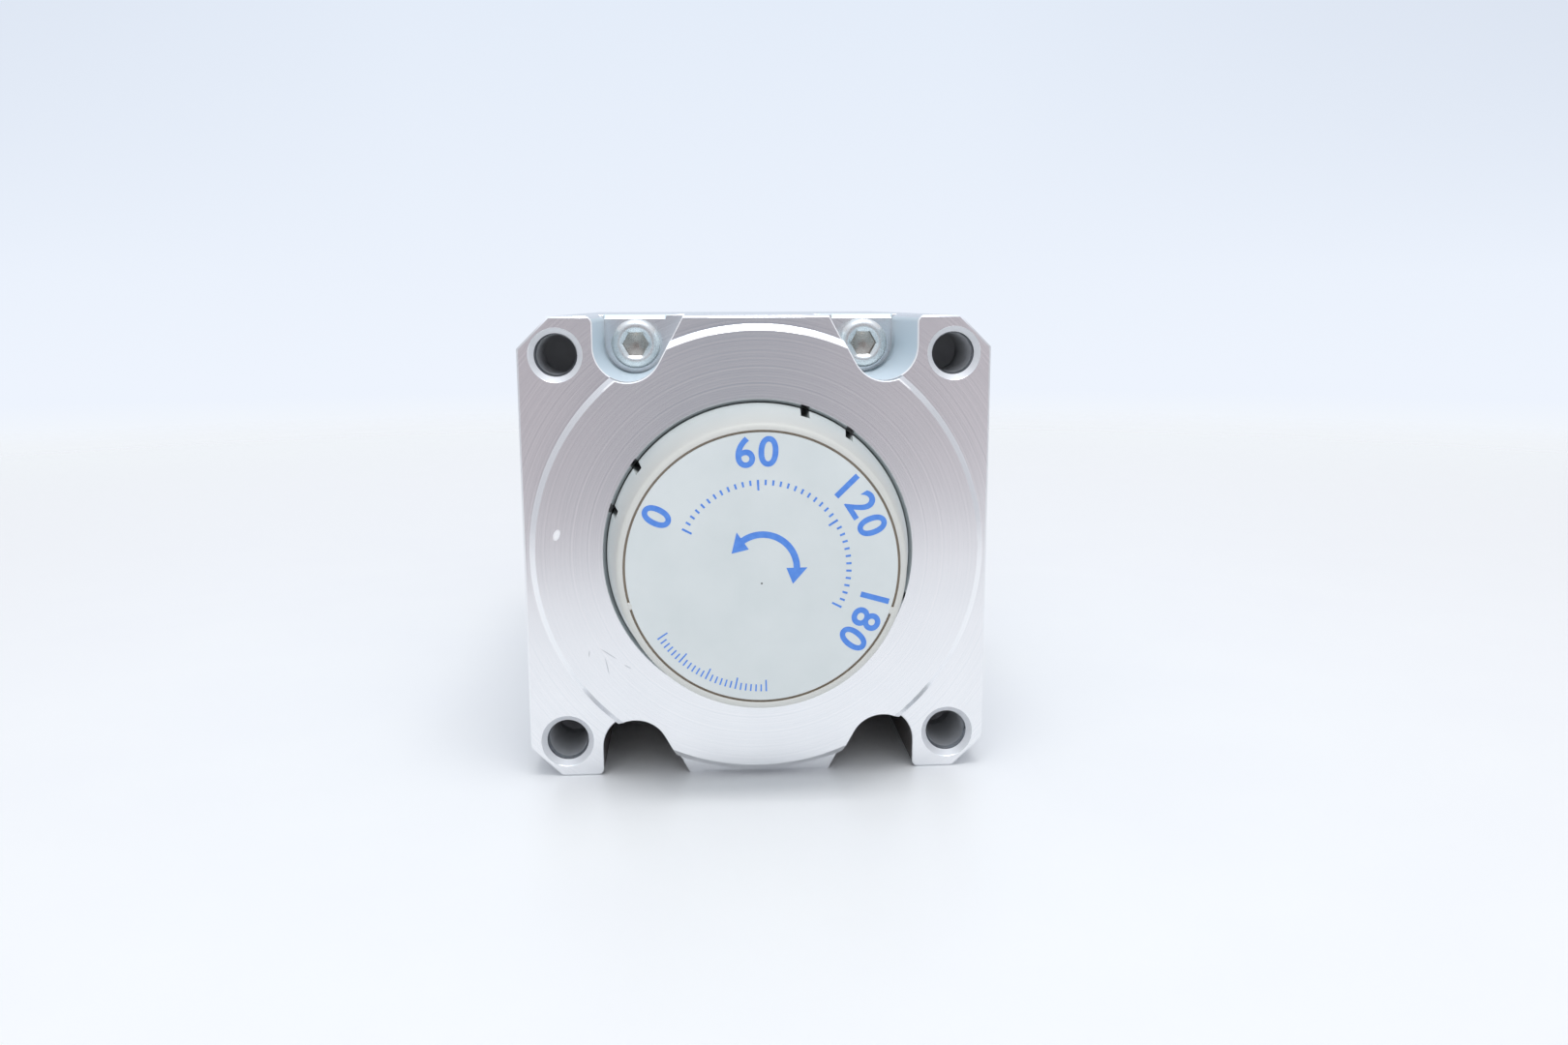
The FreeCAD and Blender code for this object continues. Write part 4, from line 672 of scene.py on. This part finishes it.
finishes = {
    "housing_aluminium": clear_anodised_aluminium(),
    "light_alloy": machined_alloy(),
    "plated_fasteners": zinc_plate(),
    "cap_resin": moulded_abs(),
    "disc_sheet": printed_sheet(),
    # Ground steel: a darker, bluish grey with fine straight grinding lines
    "machined_steel": plain_finish(
        "ground_steel", ("#A9ACB1", "#BCBFC4"), tone_mm=5.0, grain_mm=0.35, rough=(0.2, 0.36),
        relief_mm=0.003, settings={"Metallic": 1.0}, stretched=(40, 1, 1)),
    # Phosphated spring steel: dark grey, dull and faintly crystalline
    "spring_steel": plain_finish(
        "phosphated_steel", ("#46484B", "#5B5D60"), tone_mm=1.2, grain_mm=0.4, rough=(0.42, 0.6),
        relief_mm=0.006, settings={"Metallic": 0.7}),
    # Polished bearing steel: a clear mirror with a trace of lapping haze
    "bearing_steel": plain_finish(
        "polished_bearing_steel", ("#C9CCD0", "#D5D7DA"), tone_mm=2.0, grain_mm=1.5, rough=(0.06, 0.14),
        relief_mm=0.0002, settings={"Metallic": 1.0}),
    # Natural nylon: creamy, waxy and a little translucent
    "cage_nylon": plain_finish(
        "moulded_nylon", ("#DCD6C4", "#E6E1D2"), tone_mm=3.0, grain_mm=0.4, rough=(0.4, 0.5),
        relief_mm=0.003, settings={"IOR": 1.53, "Subsurface Weight": 0.2, "Subsurface Scale": 0.5 * MM}),
    # Moulded nitrile rubber: near black and dull, with a grey bloom
    "seal_rubber": plain_finish(
        "nitrile_rubber", ("#1E1E1F", "#2C2C2D"), tone_mm=1.2, grain_mm=0.5, rough=(0.5, 0.7),
        relief_mm=0.004, settings={"IOR": 1.52}),
    # Sintered magnet: dark and grainy, with a dull metal sheen
    "magnet": plain_finish(
        "sintered_magnet", ("#4C4D50", "#65666A"), tone_mm=1.0, grain_mm=0.25, rough=(0.45, 0.65),
        relief_mm=0.01, settings={"Metallic": 0.5}),
}
# Screen printed blue ink: flat and even, with the slight mottling that the mesh leaves
screen_ink = plain_finish(
    "screen_ink", ("#4A83DC", "#5A91E3"), tone_mm=0.9, grain_mm=0.3, rough=(0.35, 0.5),
    relief_mm=0.001, settings={"IOR": 1.5})

for node, made in frame["nodes"].items():
    for holder in made.material_slots:
        holder.material = finishes[slot_of[node]]


# Machined and moulded pieces with their edges broken
for node, width in (
        ("rear_cap", 0.12), ("cap_disc", 0.06), ("bearing_retainer", 0.2), ("gripper_head", 0.25),
        ("finger_guide", 0.2), ("finger_left", 0.25), ("finger_right", 0.25), ("guide_end_plates", 0.15)):
    dressed(node, width)
for node, width in (("rear_body", 0.22), ("front_body", 0.12)):
    dressed(node, width, across_only=True)


# Nibs on the cap's rim that hold the disc, where the mould was fed
NIB_ANGLES = (-19.4, 195.3)
NIB_R = 0.62
NIB_TIP_R = 0.45
NIB_INSET = 0.05               # from the rim's inner edge in to a nib's middle


def rim_nibs():
    """Small blunt pegs that end just below the rim."""
    top = CAP_FRONT + 0.04
    tip_edge = top + 0.05
    shoulder = top + 0.2
    meshes = []
    for degrees in NIB_ANGLES:
        x, z = polar(CAP_TIP_R - CAP_RIM - NIB_INSET, degrees)
        nib = spun([(0, DISC_BACK), (NIB_R, DISC_BACK), (NIB_R, shoulder), (NIB_TIP_R, tip_edge), (0, top)])
        meshes.append(placed(nib, shift(x, 0, z)))
    return joined(meshes)


piece("rim_nibs", rim_nibs(), "body", finishes["cap_resin"])


# Threads in the flange's corner holes
CORNER_PITCH = 1.25
CORNER_RIDGE = 0.3
CORNER_THREAD = 14.0           # length of thread that the eye can see


def corner_threads():
    """The start of each M8 thread, as ridges on the wall of its hole."""
    meshes = []
    for x in (-CORNER_X, CORNER_X):
        for z in (-CORNER_Z, CORNER_Z):
            ridge = thread(CORNER_R + THREAD_SINK, -CORNER_RIDGE, CORNER_PITCH, CORNER_THREAD)
            meshes.append(placed(ridge, shift(x, CORNER_START, z)))
    return joined(meshes)


piece("corner_threads", corner_threads(), "body", finishes["housing_aluminium"])


# Socket head screws
def cap_screws(node, kind, places, towards):
    """Screws in place of a CAD node, with their heads at its low end (-1) or its high end (1) along Y."""
    head_h = SCREWS[kind][2]
    low, high = span(node)
    seat = low.y + head_h if towards < 0 else high.y - head_h
    flip = Matrix() if towards < 0 else turn(180, "X")
    meshes = []
    for x, z in places:
        screw = socket_screw(*SCREWS[kind], high.y - low.y - head_h)
        meshes.append(placed(screw, shift(x, seat, z) @ flip))
    finished(node, joined(meshes))


for node, kind, towards in (
        ("housing_screws", "M5", -1), ("guide_screws", "M3", 1), ("head_screws", "M4", 1)):
    cap_screws(node, kind, corners_of(node, kind), towards)
retainer_r = span("retainer_screws")[1].z - SCREWS["M3"][1]
retainer_angles = range(30, 360, 60)
cap_screws("retainer_screws", "M3", [polar(retainer_r, degrees) for degrees in retainer_angles], 1)


def end_plate_screws():
    """Low head screws that hold the guide's end plates."""
    low, high = span("end_plate_screws")
    thread_r = 1.0
    head_r = (high.y - low.y) / 2
    head_h = 1.2
    key = 1.5
    length = 4.0
    meshes = []
    for side in (-1, 1):
        for z in (low.z + head_r, high.z - head_r):
            screw = socket_screw(thread_r, head_r, head_h, key, length)
            seat = shift(side * (high.x - head_h), low.y + head_r, z)
            meshes.append(placed(screw, seat @ turn(side * 90, "Z")))
    return joined(meshes)


finished("end_plate_screws", end_plate_screws())


# Adjusting screws of the turn, and their lock nuts
screw_low, screw_high = span("angle_screws")
nut_low, nut_high = span("angle_lock_nuts")
ADJUST_Y = (screw_low.y + screw_high.y) / 2
ADJUST_R = (screw_high.y - screw_low.y) / 2
ADJUST_Z = screw_high.z - ADJUST_R
ADJUST_KEY = 3.0
ADJUST_PITCH = 1.0
ADJUST_RIDGE = 0.43            # height of the thread over its core
ADJUST_HIDDEN = 4.0            # length of thread inside the housing's wall
NUT_ACROSS = 2 * (nut_high.z - ADJUST_Z)
NUT_PLAY = 0.02


def adjusting_screw():
    """A set screw along Y with a hexagon socket in its outer end and a rolled thread."""
    core = ADJUST_R - ADJUST_RIDGE
    start = screw_low.x
    end = screw_high.x
    end_break = 0.4
    flat = ADJUST_KEY / 2
    mouth_r = 1.2 * flat
    mouth_end = end - 0.25
    socket_end = end - 3.0
    mesh = spun([
        (0, start), (core, start), (core, end - end_break), (core - end_break, end), (mouth_r, end),
        (flat, mouth_end), (flat, socket_end), (0, socket_end),
    ])
    for vert in mesh.verts:
        if near(place_of(vert)[0], flat):
            stretch(vert, hex_reach(vert))
    ridge_start = HOUSING_SIDE - ADJUST_HIDDEN
    ridge = thread(core - THREAD_SINK, ADJUST_RIDGE, ADJUST_PITCH, end - ridge_start)
    return joined([mesh, placed(ridge, shift(0, ridge_start, 0))])


def lock_nut():
    """A lock nut along Y."""
    nut = hex_nut(NUT_ACROSS, nut_high.x - nut_low.x, ADJUST_R + NUT_PLAY)
    return placed(nut, shift(0, nut_low.x, 0))


def along_x(make):
    """Two copies, laid along +X at the adjusting screws' places."""
    meshes = []
    for z in (-ADJUST_Z, ADJUST_Z):
        meshes.append(placed(make(), shift(0, ADJUST_Y, z) @ turn(-90, "Z")))
    return joined(meshes)


finished("angle_screws", along_x(adjusting_screw))
finished("angle_lock_nuts", along_x(lock_nut))


# Printed dial on the cap's disc
def printed(digit, degrees):
    """A digit on the disc's face, upright on the ray at that angle."""
    curve = bpy.data.curves.new("print", "FONT")
    curve.body = digit
    curve.size = DIGIT * MM
    curve.align_x = "CENTER"
    curve.align_y = "CENTER"
    curve.offset = DIGIT_GROWTH * MM
    curve.extrude = INK / 2 * MM
    holder = bpy.data.objects.new("print", curve)
    bpy.context.scene.collection.objects.link(holder)
    data = bpy.data.meshes.new_from_object(holder.evaluated_get(bpy.context.evaluated_depsgraph_get()))
    bpy.data.objects.remove(holder)
    bpy.data.curves.remove(curve)
    mesh = bmesh.new()
    mesh.from_mesh(data)
    bpy.data.meshes.remove(data)
    x, z = polar(SCALE_R, degrees)
    return placed(mesh, shift(x, DISC_FACE - INK / 2, z) @ turn(90 - degrees, "Y") @ turn(90, "X"))


def inked(points):
    """A closed outline (x, z) on the disc's face, as a film of ink."""
    mesh = bmesh.new()
    face = mesh.faces.new([mesh.verts.new(Vector((x, DISC_FACE, z)) * MM) for x, z in points])
    grown = bmesh.ops.extrude_face_region(mesh, geom=[face])
    front = [item for item in grown["geom"] if isinstance(item, bmesh.types.BMVert)]
    bmesh.ops.translate(mesh, vec=(0, -INK * MM, 0), verts=front)
    bmesh.ops.recalc_face_normals(mesh, faces=mesh.faces)
    return mesh


def tick(inner, outer, width, degrees):
    """A graduation mark between two radii."""
    half = math.degrees(width / 2 / inner)
    return inked([polar(inner, degrees - half), polar(inner, degrees + half),
                  polar(outer, degrees + half), polar(outer, degrees - half)])


def turn_arrow(middle):
    """A two-way arrow along an arc."""
    start = middle - ARROW_HALF
    end = middle + ARROW_HALF
    head = math.degrees(ARROW_HEAD / ARROW_R)
    angles = [start + 2 * ARROW_HALF * k / ARROW_STEPS for k in range(ARROW_STEPS + 1)]
    outer = [polar(ARROW_R + ARROW_WIDTH / 2, angle) for angle in angles]
    inner = [polar(ARROW_R - ARROW_WIDTH / 2, angle) for angle in reversed(angles)]
    low_head = [polar(ARROW_R - ARROW_WING, start), polar(ARROW_R, start - head),
                polar(ARROW_R + ARROW_WING, start)]
    high_head = [polar(ARROW_R + ARROW_WING, end), polar(ARROW_R, end + head),
                 polar(ARROW_R - ARROW_WING, end)]
    return inked(low_head + outer + high_head + inner)


def dial_print():
    """An angle dial: numbers from 0 to 180 round the edge, their marks, a two-way arrow, and a fine scale
    below."""
    meshes = [turn_arrow(SCALE_START - 90)]
    for value in range(0, SCALE_SWEEP + 1, NUMBER_STEP):
        word = str(value)
        for place, digit in enumerate(word):
            lean = (place - (len(word) - 1) / 2) * DIGIT_STEP
            meshes.append(printed(digit, SCALE_START - value - lean))
    for value in range(0, SCALE_SWEEP + 1, TICK_STEP):
        inner = TICK_INNER if value % NUMBER_STEP else LONG_TICK_INNER
        meshes.append(tick(inner, TICK_OUTER, TICK_WIDTH, SCALE_START - value))
    for step in range(FINE_TICKS):
        inner = FINE_INNER if step % FINE_GROUP else LONG_FINE_INNER
        aside = (step - (FINE_TICKS - 1) / 2) * FINE_STEP
        meshes.append(tick(inner, FINE_OUTER, FINE_WIDTH, SCALE_START + 90 + aside))
    return joined(meshes)


piece("dial_print", dial_print(), "body", screen_ink)


# Stage
def table(name, near_edge, far_edge, material):
    """A piece of the table between two edges. An edge is its y in the middle and its slant."""
    mesh = bmesh.new()
    bmesh.ops.create_grid(mesh, x_segments=1, y_segments=1, size=1.0)
    for vert in mesh.verts:
        x = vert.co.x * FLOOR_HALF
        y, slant = far_edge if vert.co.y > 0 else near_edge
        vert.co = Vector((x, y - slant * x, FLOOR_Z)) * MM
    data = bpy.data.meshes.new(name)
    mesh.to_mesh(data)
    mesh.free()
    data.materials.append(material)
    made = bpy.data.objects.new(name, data)
    bpy.context.scene.collection.objects.link(made)
    return made


laminate = white_table()
table("floor", (FLOOR_EDGE, FLOOR_SLANT), (FLOOR_HALF, 0.0), laminate)
# In front of the table's edge mirrors show the room, so this piece of floor is for the camera alone
front_floor = table("front_floor", (-FLOOR_HALF, 0.0), (FLOOR_EDGE, FLOOR_SLANT), laminate)
front_floor.visible_glossy = False
front_floor.visible_transmission = False
front_floor.visible_diffuse = False
front_floor.visible_shadow = False


def lamp(name, at, aim, size, power):
    """A large soft white area lamp."""
    light = bpy.data.lights.new(name, "AREA")
    light.shape = "RECTANGLE"
    light.size = size[0] * MM
    light.size_y = size[1] * MM
    light.energy = power
    holder = bpy.data.objects.new(name, light)
    holder.location = Vector(at) * MM
    holder.rotation_euler = (Vector(aim) - Vector(at)).to_track_quat("-Z", "Y").to_euler()
    bpy.context.scene.collection.objects.link(holder)


lamp("overhead", at=(40, -190, 850), aim=(0, 0, 0), size=(500, 400), power=2.75)


def studio():
    """Pale backdrop for the camera, a room with a grey wall behind the camera for reflections, and an even
    fill. Its ranges are shares of a direction's length: X to the right, Y away from the camera, Z up."""
    world = bpy.data.worlds.new("studio")
    bpy.context.scene.world = world
    world.use_nodes = True
    tree = world.node_tree
    tree.nodes.clear()
    direction = add(tree, "ShaderNodeTexCoord")["Generated"]
    parts = add(tree, "ShaderNodeSeparateXYZ", {0: direction})
    aside = add(tree, "ShaderNodeMath", {"operation": "ABSOLUTE", 0: parts["X"]})[0]

    # Backdrop: as white as the table below, then bluer upwards and towards its corners
    low, high, raised = [
        add(tree, "ShaderNodeMapRange", {"Value": parts["Z"], "From Min": start, "From Max": end})[0]
        for start, end in ((-0.095, -0.065), (-0.05, 0.28), (0.02, 0.2))]
    beside, side_walls = [
        add(tree, "ShaderNodeMapRange", {"Value": aside, "From Min": start, "From Max": end})[0]
        for start, end in ((0.2, 0.6), (0.35, 0.75))]
    corner = add(tree, "ShaderNodeMath", {"operation": "MULTIPLY", 0: beside, 1: raised})[0]
    foot = add(tree, "ShaderNodeMix", {
        "data_type": "RGBA", 0: low, 6: linear("#F4F8FC"), 7: linear("#EEF4FE")})[2]
    backdrop = layered(tree, foot, [(high, "#E2EBF8"), (corner, "#DBE3F0")])

    # Room: greyer side walls, and a wall behind the camera that is darker in its middle
    offset = add(tree, "ShaderNodeMath", {"operation": "SUBTRACT", 0: parts["X"], 1: 0.025})[0]
    from_middle = add(tree, "ShaderNodeMath", {"operation": "ABSOLUTE", 0: offset})[0]
    outer = add(tree, "ShaderNodeMapRange", {"Value": from_middle, "From Min": 0.05, "From Max": 0.11})[0]
    wall = add(tree, "ShaderNodeMix", {
        "data_type": "RGBA", 0: outer, 6: linear("#89919A"), 7: linear("#B7ADB3")})[2]
    behind = add(tree, "ShaderNodeMapRange", {
        "Value": parts["Y"], "From Min": -0.97, "From Max": -0.82, "To Min": 1.0, "To Max": 0.0})[0]
    greyed = layered(tree, backdrop, [(side_walls, "#CDCFD6")])
    room = add(tree, "ShaderNodeMix", {"data_type": "RGBA", 0: behind, 6: greyed, 7: wall})[2]

    # What the camera and mirrors see, brighter overhead
    path = add(tree, "ShaderNodeLightPath")
    mirror = add(tree, "ShaderNodeMath", {
        "operation": "MAXIMUM", 0: path["Is Glossy Ray"], 1: path["Is Transmission Ray"]})[0]
    seen = add(tree, "ShaderNodeMix", {"data_type": "RGBA", 0: mirror, 6: backdrop, 7: room})[2]
    overhead = add(tree, "ShaderNodeMapRange", {
        "Value": parts["Z"], "From Min": 0.5, "From Max": 0.9, "To Min": 1.0, "To Max": 1.5})[0]
    picture = add(tree, "ShaderNodeBackground", {"Color": seen, "Strength": overhead})[0]

    # What lights matt surfaces: more from the front and from below, less from the sides
    sides, front, below = [
        add(tree, "ShaderNodeMapRange", {
            "Value": part, "From Min": start, "From Max": end, "To Min": first, "To Max": last})[0]
        for part, start, end, first, last in (
            (aside, 0.35, 0.95, 1.0, 0.3), (parts["Y"], -0.95, 0.2, 1.19, 0.78),
            (parts["Z"], -0.4, 0.0, 1.8, 1.0))]
    even = add(tree, "ShaderNodeMath", {"operation": "MULTIPLY", 0: sides, 1: front})[0]
    strength = add(tree, "ShaderNodeMath", {"operation": "MULTIPLY", 0: even, 1: below})[0]
    fill = add(tree, "ShaderNodeBackground", {"Color": linear("#F8FAFF"), "Strength": strength})[0]
    shown = add(tree, "ShaderNodeMath", {"operation": "MAXIMUM", 0: path["Is Camera Ray"], 1: mirror})[0]
    both = add(tree, "ShaderNodeMixShader", {0: shown, 1: fill, 2: picture})[0]
    add(tree, "ShaderNodeOutputWorld", {"Surface": both})


studio()


def camera():
    """The camera where the photo's was, fitted to the flange's corner holes, chamfers and screws."""
    view = bpy.data.cameras.new("camera")
    view.sensor_width = CAMERA_SENSOR
    view.lens = CAMERA_LENS
    view.clip_start = CAMERA_NEAREST * MM
    holder = bpy.data.objects.new("camera", view)
    holder.location = Vector(CAMERA_AT) * MM
    holder.rotation_euler = [math.radians(angle) for angle in CAMERA_TURN]
    bpy.context.scene.collection.objects.link(holder)
    bpy.context.scene.camera = holder


camera()
bpy.context.scene.view_settings.view_transform = "Standard"
